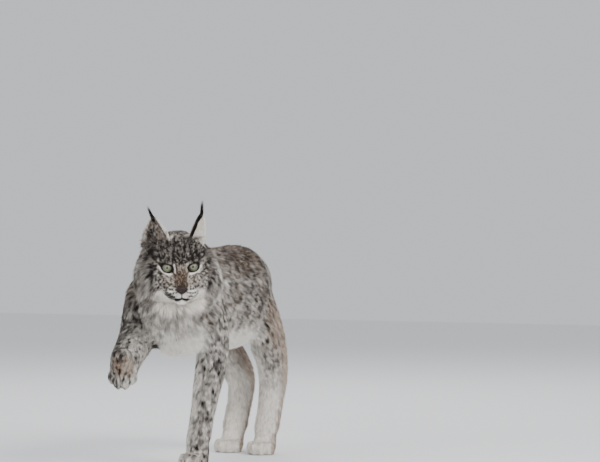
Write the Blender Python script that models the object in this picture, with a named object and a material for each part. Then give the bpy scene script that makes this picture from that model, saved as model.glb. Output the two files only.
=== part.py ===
"""A life-size Eurasian lynx, caught in mid-step: right forepaw raised, the other three on the floor.

The animal faces -Y, its left side is +X, and +Z is up. Lengths are in metres.
Flesh nodes are one smooth coat surface, parted by thin cuts where a person would name the parts.
"""

import math
import random

import bmesh
import bpy
import numpy as np
from mathutils import Matrix, Vector
from mathutils.bvhtree import BVHTree

# Driving dimensions of the animal
EYE_SPACING = 0.065
EYE_RADIUS = 0.0150
EYE_HEIGHT = 0.520
HEAD_LEFT = 0.085
HEAD_AHEAD = 0.400
HEAD_YAW = math.radians(25)
HEAD_NOD = math.radians(17.5)
HEAD_ROLL = math.radians(-2)
TUFT_LENGTH = 0.036
PAW_LENGTH = 0.098
PAW_WIDTH = 0.074
PAW_HEIGHT = 0.050
GAP = 0.0003
SEAT_GAP = 0.0014

# How finely the forms are made
BODY_VOXEL = 0.0042
BODY_TRIANGLES = 4300

COLOURS = {
    "coat": (0.42, 0.36, 0.30),
    "nose_leather": (0.16, 0.09, 0.08),
    "eye": (0.45, 0.47, 0.30),
}


def clear_scene():
    for old in list(bpy.data.objects):
        bpy.data.objects.remove(old, do_unlink=True)


def material(name, roughness):
    made = bpy.data.materials.get(name) or bpy.data.materials.new(name)
    made.use_nodes = True
    shader = made.node_tree.nodes["Principled BSDF"]
    shader.inputs["Base Color"].default_value = (*COLOURS[name], 1)
    shader.inputs["Roughness"].default_value = roughness
    shader.inputs["Metallic"].default_value = 0
    return made


def mesh_object(name, points, faces):
    mesh = bpy.data.meshes.new(name)
    mesh.from_pydata([tuple(p) for p in points], [], faces)
    mesh.update()
    made = bpy.data.objects.new(name, mesh)
    bpy.context.scene.collection.objects.link(made)
    return made


def remove(*objects):
    for old in objects:
        bpy.data.objects.remove(old, do_unlink=True)


def evaluated_mesh(obj):
    """The object's mesh with its modifiers applied, as a new mesh."""
    graph = bpy.context.evaluated_depsgraph_get()
    return bpy.data.meshes.new_from_object(obj.evaluated_get(graph))


def apply_modifiers(obj):
    bpy.context.view_layer.update()
    made = evaluated_mesh(obj)
    obj.modifiers.clear()
    obj.data = made
    return obj


def combined(name, objects):
    """One object that holds the meshes of several, which are removed."""
    gathered = bmesh.new()
    for obj in objects:
        mesh = obj.data.copy()
        mesh.transform(obj.matrix_world)
        gathered.from_mesh(mesh)
    made = mesh_object(name, [], [])
    gathered.to_mesh(made.data)
    gathered.free()
    remove(*objects)
    return made


def boolean(obj, other, operation, solver="EXACT"):
    change = obj.modifiers.new(operation, "BOOLEAN")
    change.operation = operation
    change.solver = solver
    change.object = other
    return apply_modifiers(obj)


def join_pieces(obj, pieces):
    """One union of the pieces with the object, which are then removed."""
    group = bpy.data.collections.new("pieces")
    for piece in pieces:
        group.objects.link(piece)
    change = obj.modifiers.new("union", "BOOLEAN")
    change.operation = "UNION"
    change.solver = "MANIFOLD"
    change.operand_type = "COLLECTION"
    change.collection = group
    apply_modifiers(obj)
    remove(*pieces)
    bpy.data.collections.remove(group)
    return obj


def keep_largest_body(obj):
    """Keeps the closed surface that spans the most, which drops scraps and fills sealed hollows."""
    shape = bmesh.new()
    shape.from_mesh(obj.data)
    unseen = set(shape.verts)
    islands = []
    while unseen:
        stack = [unseen.pop()]
        island = set(stack)
        while stack:
            for edge in stack.pop().link_edges:
                for vert in edge.verts:
                    if vert in unseen:
                        unseen.discard(vert)
                        island.add(vert)
                        stack.append(vert)
        islands.append(island)

    def spread(island):
        low = [min(v.co[i] for v in island) for i in range(3)]
        high = [max(v.co[i] for v in island) for i in range(3)]
        return sum(b - a for a, b in zip(low, high))

    kept = max(islands, key=spread)
    bmesh.ops.delete(shape, geom=[v for v in shape.verts if v not in kept], context="VERTS")
    shape.to_mesh(obj.data)
    shape.free()
    return obj


def smooth_path(stations, steps):
    """Rows of numbers on a smooth curve through the stations, with so many steps between each two."""
    rows = np.array(stations, float)
    ends = np.vstack([2 * rows[0] - rows[1], rows, 2 * rows[-1] - rows[-2]])
    found = []
    for i in range(1, len(ends) - 2):
        a, b, c, d = ends[i - 1 : i + 3]
        for t in np.arange(steps) / steps:
            found.append(0.5 * (2 * b + (c - a) * t + (2 * a - 5 * b + 4 * c - d) * t**2
                                + (3 * b - a - 3 * c + d) * t**3))
    found.append(rows[-1])
    return np.array(found)


def bridged(name, rings):
    """A closed body through rings with the same number of points, capped at both ends."""
    count = len(rings[0])
    points = [p for ring in rings for p in ring]
    faces = []
    for r in range(len(rings) - 1):
        for k in range(count):
            n = (k + 1) % count
            faces.append((r * count + k, r * count + n, (r + 1) * count + n, (r + 1) * count + k))
    for r, order in ((0, -1), (len(rings) - 1, 1)):
        hub = len(points)
        points.append(sum((Vector(p) for p in rings[r]), Vector()) / count)
        for k in range(count):
            rim = (r * count + k, r * count + (k + 1) % count)
            faces.append((*rim[::order], hub))
    return faced_out(mesh_object(name, points, faces))


def faced_out(obj):
    shape = bmesh.new()
    shape.from_mesh(obj.data)
    bmesh.ops.recalc_face_normals(shape, faces=shape.faces)
    shape.to_mesh(obj.data)
    shape.free()
    return obj


def superellipse(angle, half_width, rise, drop, power):
    """A point of an egg-shaped section: rounder at power 1, boxier below it."""
    c, s = math.cos(angle), math.sin(angle)
    across = math.copysign(abs(c) ** power, c) * half_width
    height = math.copysign(abs(s) ** power, s) * (rise if s > 0 else drop)
    return across, height


def limb(name, stations, steps=4, count=20):
    """A loft along a bent chain. A station is x, y, z, half the thickness across, half the depth fore and aft."""
    rows = smooth_path(stations, steps)
    rings = []
    for i, row in enumerate(rows):
        ahead = Vector(rows[min(i + 1, len(rows) - 1)][:3]) - Vector(rows[max(i - 1, 0)][:3])
        ahead.normalize()
        across = (Vector((1, 0, 0)) - ahead * ahead.x).normalized()
        fore = ahead.cross(across)
        ring = []
        for k in range(count):
            a, b = superellipse(2 * math.pi * k / count, row[3], row[4], row[4], 1)
            ring.append(Vector(row[:3]) + across * a + fore * b)
        rings.append(ring)
    return bridged(name, rings)


def trunk(name, stations, steps=3, count=40):
    """A loft along Y. A station is y, middle x, top z, bottom z, half width."""
    rings = []
    for y, middle, top, bottom, half in smooth_path(stations, steps):
        widest = bottom + (top - bottom) * 0.52
        ring = []
        for k in range(count):
            a, b = superellipse(2 * math.pi * k / count, half, top - widest, widest - bottom, 0.92)
            ring.append(Vector((middle + a, y, widest + b)))
        rings.append(ring)
    return bridged(name, rings)


def ellipsoid(name, centre, radii, turn=None, segments=24, rings=14):
    shape = bmesh.new()
    place = Matrix.Translation(centre) @ (turn or Matrix.Identity(4)) @ Matrix.Diagonal((*radii, 1))
    bmesh.ops.create_uvsphere(shape, u_segments=segments, v_segments=rings, radius=1, matrix=place)
    made = mesh_object(name, [], [])
    shape.to_mesh(made.data)
    shape.free()
    return made


def fused(name, objects, voxel, rounds, triangles):
    """The objects melted into one smooth skin with about so many triangles."""
    made = combined(name, objects)
    melt = made.modifiers.new("melt", "REMESH")
    melt.mode = "VOXEL"
    melt.voxel_size = voxel
    soften = made.modifiers.new("soften", "SMOOTH")
    soften.factor = 0.5
    soften.iterations = rounds
    apply_modifiers(made)
    keep_largest_body(made)
    made.data.calc_loop_triangles()
    thin = made.modifiers.new("thin", "DECIMATE")
    thin.ratio = min(1.0, triangles / len(made.data.loop_triangles))
    thin.use_collapse_triangulate = True
    return apply_modifiers(made)


def slab(name, at, facing, size):
    """A box that fills the side of a plane to which facing points."""
    z = Vector(facing).normalized()
    turn = z.to_track_quat("Z", "Y").to_matrix().to_4x4()
    shape = bmesh.new()
    place = Matrix.Translation(Vector(at)) @ turn @ Matrix.Translation((0, 0, size / 2))
    bmesh.ops.create_cube(shape, size=size, matrix=place)
    made = mesh_object(name, [], [])
    shape.to_mesh(made.data)
    shape.free()
    return made


def copy_of(obj, name):
    made = bpy.data.objects.new(name, obj.data.copy())
    bpy.context.scene.collection.objects.link(made)
    return made


def side_of_plane(obj, at, facing, size=1.6):
    """Keeps what lies on the side of a plane to which facing points, half a gap clear of it."""
    unit = Vector(facing).normalized()
    tool = slab("side", Vector(at) + unit * GAP / 2, unit, size)
    boolean(obj, tool, "INTERSECT")
    remove(tool)
    return obj


# The body's stations, metres: y, middle x, top z, bottom z, half width
TORSO = (
    (-0.262, 0.012, 0.478, 0.352, 0.050),
    (-0.245, 0.010, 0.503, 0.328, 0.078),
    (-0.205, 0.007, 0.538, 0.302, 0.100),
    (-0.150, 0.003, 0.558, 0.290, 0.113),
    (-0.080, 0.000, 0.559, 0.287, 0.117),
    (-0.010, 0.000, 0.553, 0.285, 0.117),
    (0.060, 0.000, 0.549, 0.283, 0.116),
    (0.120, 0.000, 0.549, 0.282, 0.111),
    (0.180, 0.000, 0.551, 0.286, 0.101),
    (0.226, 0.000, 0.549, 0.302, 0.091),
    (0.266, 0.000, 0.541, 0.326, 0.082),
    (0.301, 0.000, 0.526, 0.354, 0.071),
    (0.331, 0.000, 0.505, 0.382, 0.056),
    (0.352, 0.000, 0.484, 0.410, 0.037),
)

# The neck: x, y, z, half width, half depth
NECK = (
    (0.000, -0.110, 0.440, 0.104, 0.116),
    (0.006, -0.180, 0.453, 0.108, 0.120),
    (0.018, -0.240, 0.472, 0.110, 0.115),
    (0.030, -0.284, 0.491, 0.108, 0.113),
    (0.040, -0.318, 0.499, 0.096, 0.107),
    (0.048, -0.340, 0.495, 0.074, 0.088),
    (0.055, -0.356, 0.484, 0.050, 0.052),
    (0.059, -0.364, 0.480, 0.022, 0.022),
)

# Chains from shoulder or hip into the paw: x, y, z, half thickness across, half depth
LEFT_FORELEG = (
    (0.040, -0.150, 0.480, 0.034, 0.062),
    (0.070, -0.178, 0.415, 0.046, 0.076),
    (0.078, -0.168, 0.355, 0.044, 0.066),
    (0.075, -0.146, 0.302, 0.042, 0.053),
    (0.067, -0.140, 0.250, 0.041, 0.044),
    (0.055, -0.140, 0.190, 0.037, 0.038),
    (0.045, -0.141, 0.130, 0.033, 0.034),
    (0.038, -0.146, 0.080, 0.033, 0.034),
    (0.034, -0.160, 0.040, 0.030, 0.030),
)
RIGHT_FORELEG = (
    (-0.042, -0.160, 0.480, 0.034, 0.062),
    (-0.077, -0.210, 0.425, 0.047, 0.076),
    (-0.084, -0.240, 0.375, 0.048, 0.066),
    (-0.080, -0.268, 0.345, 0.048, 0.056),
    (-0.072, -0.314, 0.322, 0.046, 0.049),
    (-0.065, -0.362, 0.304, 0.043, 0.045),
    (-0.061, -0.400, 0.284, 0.042, 0.042),
    (-0.060, -0.418, 0.258, 0.040, 0.038),
    (-0.060, -0.424, 0.238, 0.034, 0.030),
)
LEFT_HINDLEG = (
    (0.030, 0.250, 0.490, 0.034, 0.066),
    (0.042, 0.242, 0.430, 0.038, 0.080),
    (0.058, 0.238, 0.370, 0.043, 0.084),
    (0.072, 0.252, 0.315, 0.043, 0.074),
    (0.073, 0.285, 0.268, 0.042, 0.060),
    (0.066, 0.318, 0.230, 0.040, 0.052),
    (0.060, 0.338, 0.192, 0.038, 0.046),
    (0.057, 0.334, 0.148, 0.035, 0.038),
    (0.056, 0.318, 0.103, 0.034, 0.035),
    (0.055, 0.302, 0.066, 0.035, 0.034),
    (0.054, 0.286, 0.038, 0.030, 0.028),
)
RIGHT_HINDLEG = (
    (-0.030, 0.252, 0.490, 0.034, 0.066),
    (-0.044, 0.254, 0.430, 0.040, 0.080),
    (-0.060, 0.260, 0.370, 0.045, 0.084),
    (-0.070, 0.284, 0.312, 0.044, 0.072),
    (-0.066, 0.326, 0.262, 0.042, 0.058),
    (-0.056, 0.366, 0.224, 0.040, 0.051),
    (-0.049, 0.388, 0.188, 0.038, 0.045),
    (-0.048, 0.383, 0.143, 0.035, 0.038),
    (-0.050, 0.366, 0.100, 0.034, 0.035),
    (-0.051, 0.349, 0.064, 0.035, 0.034),
    (-0.052, 0.332, 0.038, 0.030, 0.028),
)
TAIL = (
    (0.000, 0.270, 0.484, 0.034, 0.034),
    (0.000, 0.318, 0.482, 0.034, 0.035),
    (0.001, 0.364, 0.458, 0.032, 0.033),
    (0.003, 0.391, 0.416, 0.032, 0.032),
    (0.005, 0.402, 0.374, 0.032, 0.032),
    (0.006, 0.404, 0.340, 0.026, 0.026),
    (0.006, 0.403, 0.324, 0.013, 0.013),
)

# Where each paw is made: the point over which its sole lies, and how far its toes are turned down
PAWS = {
    "forepaw_left": ((0.034, -0.152, 0.0), 0.0),
    "hindpaw_left": ((0.056, 0.282, 0.0), 0.0),
    "hindpaw_right": ((-0.052, 0.328, 0.0), 0.0),
    "forepaw_right": ((-0.058, -0.404, 0.262), math.radians(64)),
}
# Below these planes lie the paws: a point and the way down the leg
WRIST_PLANES = {
    "forepaw_left": ((0.040, -0.145, 0.088), (0.05, -0.10, -1)),
    "hindpaw_left": ((0.0555, 0.311, 0.082), (0, -0.42, -1)),
    "hindpaw_right": ((-0.050, 0.358, 0.082), (0, -0.42, -1)),
    "forepaw_right": ((-0.061, -0.396, 0.289), (0.04, -0.62, -0.78)),
}


def paw_pieces(toward, toes_down):
    """The palm, instep and four toes of a broad furred paw, made with its toes towards -Y and then turned."""
    length, width, height = PAW_LENGTH, PAW_WIDTH, PAW_HEIGHT
    heel = length * 0.20
    pieces = [
        ellipsoid("palm", (0, heel - length * 0.24, height * 0.40), (width * 0.46, length * 0.42, height * 0.54)),
        ellipsoid("instep", (0, heel - length * 0.10, height * 0.80), (width * 0.40, length * 0.32, height * 0.55)),
    ]
    for side in (-1, 1):
        for reach, out, size in ((0.60, 0.125, 0.190), (0.47, 0.350, 0.172)):
            at = (side * width * out, heel - length * reach, height * 0.33)
            pieces.append(ellipsoid("toe", at, (width * size, length * 0.215, height * 0.42)))
    place = Matrix.Translation(toward) @ Matrix.Rotation(toes_down, 4, "X")
    for piece in pieces:
        piece.data.transform(place)
    return pieces


def body_form():
    """Torso, neck, tail, legs and paws, melted together, with the soles cut flat at floor level."""
    pieces = [
        trunk("torso_form", TORSO),
        limb("neck_form", NECK, count=32),
        limb("tail_form", TAIL),
    ]
    for chain in (LEFT_FORELEG, RIGHT_FORELEG, LEFT_HINDLEG, RIGHT_HINDLEG):
        pieces.append(limb("leg_form", chain))
    for toward, toes_down in PAWS.values():
        pieces += paw_pieces(toward, toes_down)
    body = fused("body", pieces, BODY_VOXEL, 5, BODY_TRIANGLES)
    room = slab("room", (0, 0, 0), (0, 0, 1), 2)
    boolean(body, room, "INTERSECT")
    remove(room)
    return body


# The head, in its own axes: x to its left, -y out of the face, z up, from the midpoint between the eyes.
# A station is how far out of the face it is, then the height where it is widest, rise, drop and half width.
HEAD = (
    (0.0520, -0.0500, 0.0060, 0.0080, 0.0100),
    (0.0470, -0.0500, 0.0140, 0.0180, 0.0200),
    (0.0400, -0.0500, 0.0220, 0.0250, 0.0270),
    (0.0300, -0.0490, 0.0340, 0.0310, 0.0340),
    (0.0200, -0.0460, 0.0460, 0.0370, 0.0430),
    (0.0090, -0.0420, 0.0600, 0.0430, 0.0540),
    (-0.0030, -0.0390, 0.0730, 0.0490, 0.0640),
    (-0.0170, -0.0380, 0.0840, 0.0550, 0.0720),
    (-0.0350, -0.0380, 0.0940, 0.0610, 0.0790),
    (-0.0570, -0.0380, 0.1010, 0.0660, 0.0825),
    (-0.0790, -0.0360, 0.1010, 0.0670, 0.0825),
    (-0.1020, -0.0290, 0.0910, 0.0670, 0.0790),
    (-0.1240, -0.0150, 0.0650, 0.0600, 0.0680),
    (-0.1400, -0.0030, 0.0350, 0.0410, 0.0460),
)

# Lumps melted with it: how far out of the face, left and up the middle is, its radii the same way, and its nod.
# One that is off the middle has a twin on the other side.
HEAD_LUMPS = {
    "nose bridge": ((0.0210, 0.000, -0.0130), (0.0400, 0.0165, 0.0145), 38),
    "nose tip": ((0.0430, 0.000, -0.0385), (0.0170, 0.0145, 0.0135), 20),
    "brow": ((-0.0060, 0.030, 0.0160), (0.0140, 0.0190, 0.0090), 0),
    "whisker pad": ((0.0330, 0.0205, -0.0530), (0.0235, 0.0205, 0.0175), 8),
    "pad behind": ((0.0150, 0.0290, -0.0530), (0.0260, 0.0190, 0.0185), 0),
    "chin": ((0.0310, 0.000, -0.0740), (0.0200, 0.0200, 0.0125), 0),
    "cheekbone": ((-0.014, 0.050, -0.022), (0.020, 0.018, 0.016), 0),
}
HEAD_VOXEL = 0.0022
HEAD_TRIANGLES = 2200
HEAD_SOFTENING = 14

TO_WORLD = (
    Matrix.Translation((HEAD_LEFT, -HEAD_AHEAD, EYE_HEIGHT))
    @ Matrix.Rotation(HEAD_YAW, 4, "Z")
    @ Matrix.Rotation(HEAD_NOD, 4, "X")
    @ Matrix.Rotation(HEAD_ROLL, 4, "Y")
)


def head_point(out, left, up):
    return Vector((left, -out, up))


def head_form(voxel, triangles):
    """The head's coat surface: the loft and its lumps melted together. It stays in the head's axes."""
    rings = []
    for out, widest, rise, drop, half in smooth_path(HEAD, 2):
        ring = []
        for k in range(40):
            a, b = superellipse(2 * math.pi * k / 40 + math.pi / 2, half, rise, drop, 0.94)
            ring.append(head_point(out, a, widest + b))
        rings.append(ring)
    pieces = [bridged("head", rings)]
    for centre, radii, nod in HEAD_LUMPS.values():
        turn = Matrix.Rotation(math.radians(nod), 4, "X")
        for side in ((1, -1) if centre[1] else (1,)):
            middle = head_point(centre[0], side * centre[1], centre[2])
            pieces.append(ellipsoid("lump", middle, (radii[1], radii[0], radii[2]), turn, 48, 32))
    return fused("head", pieces, voxel, HEAD_SOFTENING, triangles)


def eye_places():
    return {
        "left": head_point(0, EYE_SPACING / 2, 0),
        "right": head_point(0, -EYE_SPACING / 2, 0),
    }


# The opening between the lids: half width, rise above the eye's middle, drop below it
EYE_OPENING = (0.0142, 0.0102, 0.0110)
EYE_OUTWARD = math.radians(8)
LID_THICKNESS = 0.0020


def lid_opening(side):
    """An almond-shaped plug that opens the lids over the eye. Its inner corner is the lower one."""
    half, rise, drop = EYE_OPENING
    outline = []
    count = 16
    for k in range(count):
        angle = 2 * math.pi * k / count
        c, s = math.cos(angle), math.sin(angle)
        height = (rise if s > 0 else drop) * math.copysign(abs(s) ** 1.25, s)
        outline.append((half * c, height + 0.0022 * c))
    sign = 1 if side == "left" else -1
    turn = Matrix.Rotation(sign * EYE_OUTWARD, 3, "Z")
    rings = []
    for out in (0.002, 0.040):
        rings.append([eye_places()[side] + turn @ Vector((sign * x, -out, z)) for x, z in outline])
    return bridged("lid_opening", rings)


def mouth_cutter(head):
    """A thin curved tube laid along the lips, to cut the line of the mouth."""
    tree = BVHTree.FromPolygons([v.co for v in head.data.vertices], [p.vertices for p in head.data.polygons])
    reach, count = 0.0400, 15
    points = []
    for k in range(count):
        left = reach * (2 * k / (count - 1) - 1)
        share = abs(left) / reach
        up = -0.0640 - 0.0050 * math.sin(math.pi * min(1.0, share * 1.15)) + 0.0050 * share**3
        hit = tree.ray_cast(head_point(0.12, left, up), head_point(-1, 0, 0))[0]
        points.append(hit + Vector((0, 0.0004, 0)))
    return tube("mouth_line", points, 0.0013)


def tube(name, points, radius, count=6):
    rings = []
    for i, point in enumerate(points):
        ahead = (points[min(i + 1, len(points) - 1)] - points[max(i - 1, 0)]).normalized()
        across = ahead.orthogonal().normalized()
        if i:
            across = (before - ahead * before.dot(ahead)).normalized()
        before = across
        other = ahead.cross(across)
        angles = [2 * math.pi * k / count for k in range(count)]
        rings.append([point + (across * math.cos(a) + other * math.sin(a)) * radius for a in angles])
    return bridged(name, rings)


# The nose leather: out of the face, height of its middle, rise, drop, half width
NOSE = (
    (0.0420, -0.0330, 0.0060, 0.0080, 0.0105),
    (0.0520, -0.0360, 0.0075, 0.0105, 0.0130),
    (0.0580, -0.0385, 0.0080, 0.0115, 0.0138),
    (0.0615, -0.0402, 0.0062, 0.0090, 0.0112),
    (0.0632, -0.0410, 0.0030, 0.0045, 0.0060),
)


def nose_form(extra=0.0):
    rings = []
    for out, middle, rise, drop, half in smooth_path(NOSE, 2):
        ring = []
        for k in range(16):
            a, b = superellipse(2 * math.pi * k / 16, half + extra, rise + extra, drop + extra, 0.95)
            narrowing = 1 - 0.45 * max(0.0, -b / (drop + extra))
            ring.append(head_point(out + (extra if rings else -extra), a * narrowing, middle + b))
        rings.append(ring)
    return bridged("nose", rings)


def nostril(side):
    turn = Matrix.Rotation(side * math.radians(-32), 4, "Y")
    return ellipsoid("nostril", head_point(0.0615, side * 0.0064, -0.0420), (0.0034, 0.0052, 0.0020), turn, 10, 6)


# Ears: where the middle of the base is, where the tip is, and which way the cup opens, in the head's axes
EARS = {
    "left": {"base": (-0.064, 0.048, 0.046), "tip": (-0.078, 0.061, 0.113), "opens": (0.50, 0.87, 0.05)},
    "right": {"base": (-0.064, -0.056, 0.044), "tip": (-0.078, -0.061, 0.107), "opens": (0.90, -0.44, 0.05)},
}
EAR_HALF_WIDTH = 0.0355
EAR_CUP = 0.018
EAR_WALL = 0.0055
EAR_ROOT = 0.45
TUFT_LEAN = {"left": 0.06, "right": -0.50}


def ear_frame(side):
    ear = EARS[side]
    base, tip = head_point(*ear["base"]), head_point(*ear["tip"])
    along = (tip - base).normalized()
    opens = head_point(*ear["opens"])
    opens = (opens - along * opens.dot(along)).normalized()
    return base, tip, along, opens, along.cross(opens)


def ear_form(side):
    """A pointed cup: crescent sections from the root, below the base, to the tip."""
    base, tip, along, opens, across = ear_frame(side)
    rings = []
    for t in (-EAR_ROOT, -0.25, -0.08, 0.10, 0.28, 0.45, 0.60, 0.73, 0.84, 0.93, 1.0):
        rise = max(t, 0)
        sunk = max(-t, 0) / EAR_ROOT
        half = EAR_HALF_WIDTH * (1 - rise**1.9) ** 0.85 * (1 - 0.35 * sunk) + 0.0020
        cup = EAR_CUP * (1 - rise) ** 0.6 + 0.001
        wall = EAR_WALL * (1 - 0.55 * rise) * (1 + sunk)
        middle = base + (tip - base) * t
        outer, inner = [], []
        arc = math.radians(72)
        for k in range(9):
            angle = arc * (2 * k / 8 - 1)
            sideways = math.sin(angle) / math.sin(arc)
            depth = (math.cos(angle) - math.cos(arc)) / (1 - math.cos(arc))
            outer.append(middle + across * sideways * (half + wall * 0.4) - opens * (cup * depth + wall * 0.5))
            inner.append(middle + across * sideways * (half - wall * 0.6) - opens * (cup * depth - wall * 0.5))
        rings.append(outer + inner[::-1])
    return bridged("ear_" + side, rings)


def lock(root, along, flat, length, width, thickness, bend, sections=5):
    """A flat tapered lock of hair, whose tip bends over. It has four-sided sections and a point."""
    along, flat = along.normalized(), flat.normalized()
    out = along.cross(flat).normalized()
    flat = out.cross(along)
    rings = []
    for i in range(sections):
        t = i / (sections - 1)
        middle = root + along * (length * t) + bend * (t * t)
        half = width * (0.62 + 1.1 * t - 1.66 * t * t) + 0.0003
        deep = thickness * (1 - 0.75 * t) + 0.0003
        rings.append([middle + flat * half, middle + out * deep, middle - flat * half, middle - out * deep])
    return bridged("lock", rings)


def ear_tuft(side):
    """The black pencil of long hairs at the ear's tip, as a few tapered locks."""
    _, tip, along, opens, across = ear_frame(side)
    lean = head_point(0, TUFT_LEAN[side], 1)
    locks = []
    for k in range(5):
        swing = (k - 2) / 2
        ahead = lean.normalized() + across * 0.09 * swing + opens * 0.05 * math.cos(3 * k)
        length = TUFT_LENGTH * (1 - 0.22 * abs(swing))
        root = tip - along * 0.010 + across * 0.0012 * swing
        locks.append(lock(root, ahead, across, length + 0.010, 0.0026, 0.0016, head_point(-0.002 * k, 0, 0)))
    return locks


# The cheek ruff runs from below the ear to the throat. A station is the root (out of the face, left, up),
# the way the hair lies there and the length of the lock.
RUFF = (
    (-0.046, 0.070, 0.012, -0.52, 0.80, -0.12, 0.026),
    (-0.042, 0.073, -0.018, -0.42, 0.80, -0.42, 0.030),
    (-0.036, 0.069, -0.044, -0.34, 0.66, -0.66, 0.036),
    (-0.028, 0.056, -0.068, -0.30, 0.42, -0.84, 0.042),
    (-0.020, 0.037, -0.083, -0.26, 0.22, -0.93, 0.042),
    (-0.014, 0.004, -0.088, -0.24, 0.03, -0.96, 0.034),
)
RUFF_ROWS = ((11, 0.0, 1.0), (10, -0.014, 1.12))
RUFF_HALF_WIDTH = 0.0088
RUFF_THICKNESS = 0.0030


def ruff(side):
    """The long hair of the cheek as two rows of flat, bent locks, each laid over the next."""
    sign = 1 if side == "left" else -1
    draw = random.Random(11 if side == "left" else 12)
    locks = []
    for count, back, longer in RUFF_ROWS:
        rows = smooth_path(RUFF, 12)
        for k in range(count):
            row = rows[round((k + 0.5) / count * (len(rows) - 1))]
            out, left, up, *lie, length = row
            root = head_point(out + back, sign * left * 0.90, up)
            along = head_point(lie[0], sign * lie[1], lie[2])
            outward = head_point(0.55, sign * left / 0.08, (up + 0.02) / 0.10)
            flat = along.cross(outward) + along * draw.uniform(-0.25, 0.25)
            length *= longer * draw.uniform(0.88, 1.12)
            bend = head_point(-0.006, -sign * 0.003, -0.004) * draw.uniform(0.6, 1.4)
            locks.append(lock(root, along, flat, length + 0.010, RUFF_HALF_WIDTH, RUFF_THICKNESS, bend, 4))
    return locks


def make_head(neck):
    """Head, nose, eyes and ears, cut clear of one another and of the neck, then placed in the world."""
    head = head_form(HEAD_VOXEL, HEAD_TRIANGLES)
    neck_room = grow(copy_of(neck, "neck_room"), 2 * GAP)
    neck_room.data.transform(TO_WORLD.inverted())
    for side in ("left", "right"):
        first, *others = ruff(side)
        if others:
            join_pieces(first, others)
        boolean(first, neck_room, "DIFFERENCE")
        boolean(head, first, "UNION")
        remove(first)
    remove(neck_room)
    made = {}
    for side, place in eye_places().items():
        lids = ellipsoid("lids", place, (EYE_RADIUS + LID_THICKNESS,) * 3, None, 18, 12)
        boolean(head, lids, "UNION")
        remove(lids)
        opening = lid_opening(side)
        boolean(head, opening, "DIFFERENCE")
        remove(opening)
        socket = ellipsoid("socket", place, (EYE_RADIUS + GAP,) * 3, None, 16, 12)
        boolean(head, socket, "DIFFERENCE")
        remove(socket)
        made["eye_" + side] = ellipsoid("eye_" + side, place, (EYE_RADIUS,) * 3, None, 16, 12)
    mouth = mouth_cutter(head)
    boolean(head, mouth, "DIFFERENCE")
    remove(mouth)
    seat = nose_form(GAP)
    boolean(head, seat, "DIFFERENCE")
    remove(seat)
    nose = nose_form()
    for side in (-1, 1):
        hole = nostril(side)
        boolean(nose, hole, "DIFFERENCE")
        remove(hole)
    made["nose"] = nose
    for side in EARS:
        ear = ear_form(side)
        join_pieces(ear, ear_tuft(side))
        made["ear_" + side] = ear
        head_copy = grow(copy_of(head, "head_copy"), GAP)
        boolean(ear, head_copy, "DIFFERENCE")
        remove(head_copy)
        keep_largest_body(ear)
    keep_largest_body(head)
    made["head"] = head
    for obj in made.values():
        obj.data.transform(TO_WORLD)
    return made


def grow(obj, by):
    """Moves the surface out along its normals."""
    normals = [v.normal.copy() for v in obj.data.vertices]
    for vert, normal in zip(obj.data.vertices, normals):
        vert.co += normal * by
    return obj


# Where the body is parted: planes, and cups round the shoulders and hips
HEAD_PLANE = ((0.042, -0.312, 0.515), (0.30, -0.95, -0.10))
NECK_PLANE = ((0.010, -0.205, 0.470), (0.06, -0.93, 0.36))
TAIL_ROOM = 0.010
CUPS = {
    "left_fore": ((0.104, -0.172, 0.392), (0.064, 0.092, 0.140)),
    "right_fore": ((-0.106, -0.218, 0.392), (0.064, 0.094, 0.140)),
    "left_hind": ((0.096, 0.242, 0.392), (0.068, 0.114, 0.142)),
    "right_hind": ((-0.098, 0.258, 0.392), (0.068, 0.114, 0.142)),
}
# Below these planes lie the forearms and shanks: a point and the way down the leg
LOWER_PLANES = {
    "left_fore": ((0.073, -0.146, 0.276), (0, 0.05, -1)),
    "right_fore": ((-0.078, -0.296, 0.330), (0.10, -0.92, -0.40)),
    "left_hind": ((0.076, 0.262, 0.284), (0, 0.62, -0.78)),
    "right_hind": ((-0.070, 0.296, 0.284), (0, 0.62, -0.78)),
}
# How far the box round a forearm or shank reaches ahead of that point, behind it, to each side and up the leg
LOWER_REACH = {
    "left_fore": (0.10, 0.10, 0.075, 0.0),
    "right_fore": (0.060, 0.13, 0.062, 0.056),
    "left_hind": (0.28, 0.13, 0.070, 0.0),
    "right_hind": (0.28, 0.13, 0.070, 0.0),
}
NAMES = {
    "left_fore": ("upper_foreleg_left", "lower_foreleg_left", "forepaw_left"),
    "right_fore": ("upper_foreleg_right", "lower_foreleg_right", "forepaw_right"),
    "left_hind": ("thigh_left", "shank_left", "hindpaw_left"),
    "right_hind": ("thigh_right", "shank_right", "hindpaw_right"),
}


def leg_region(leg, extra):
    """The space that a leg takes from the body: a cup at its root and a box round all that hangs below it."""
    centre, radii = CUPS[leg]
    cup = ellipsoid("cup", centre, [r + extra for r in radii], None, 16, 10)
    at, down = LOWER_PLANES[leg]
    ahead, behind, beside, above = LOWER_REACH[leg]
    low = Vector((-beside - extra, -ahead - extra, -above - extra))
    high = Vector((beside + extra, behind + extra, 0.420))
    z = Vector(down).normalized()
    x = (Vector((1, 0, 0)) - z * z.x).normalized()
    turn = Matrix((x, x.cross(z), z)).transposed().to_4x4()
    middle, size = (low + high) / 2, high - low
    shape = bmesh.new()
    place = Matrix.Translation(at) @ turn @ Matrix.Translation(middle) @ Matrix.Diagonal((*size, 1))
    bmesh.ops.create_cube(shape, size=1, matrix=place)
    box = mesh_object("box", [], [])
    shape.to_mesh(box.data)
    shape.free()
    boolean(faced_out(cup), faced_out(box), "UNION")
    remove(box)
    return cup


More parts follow.
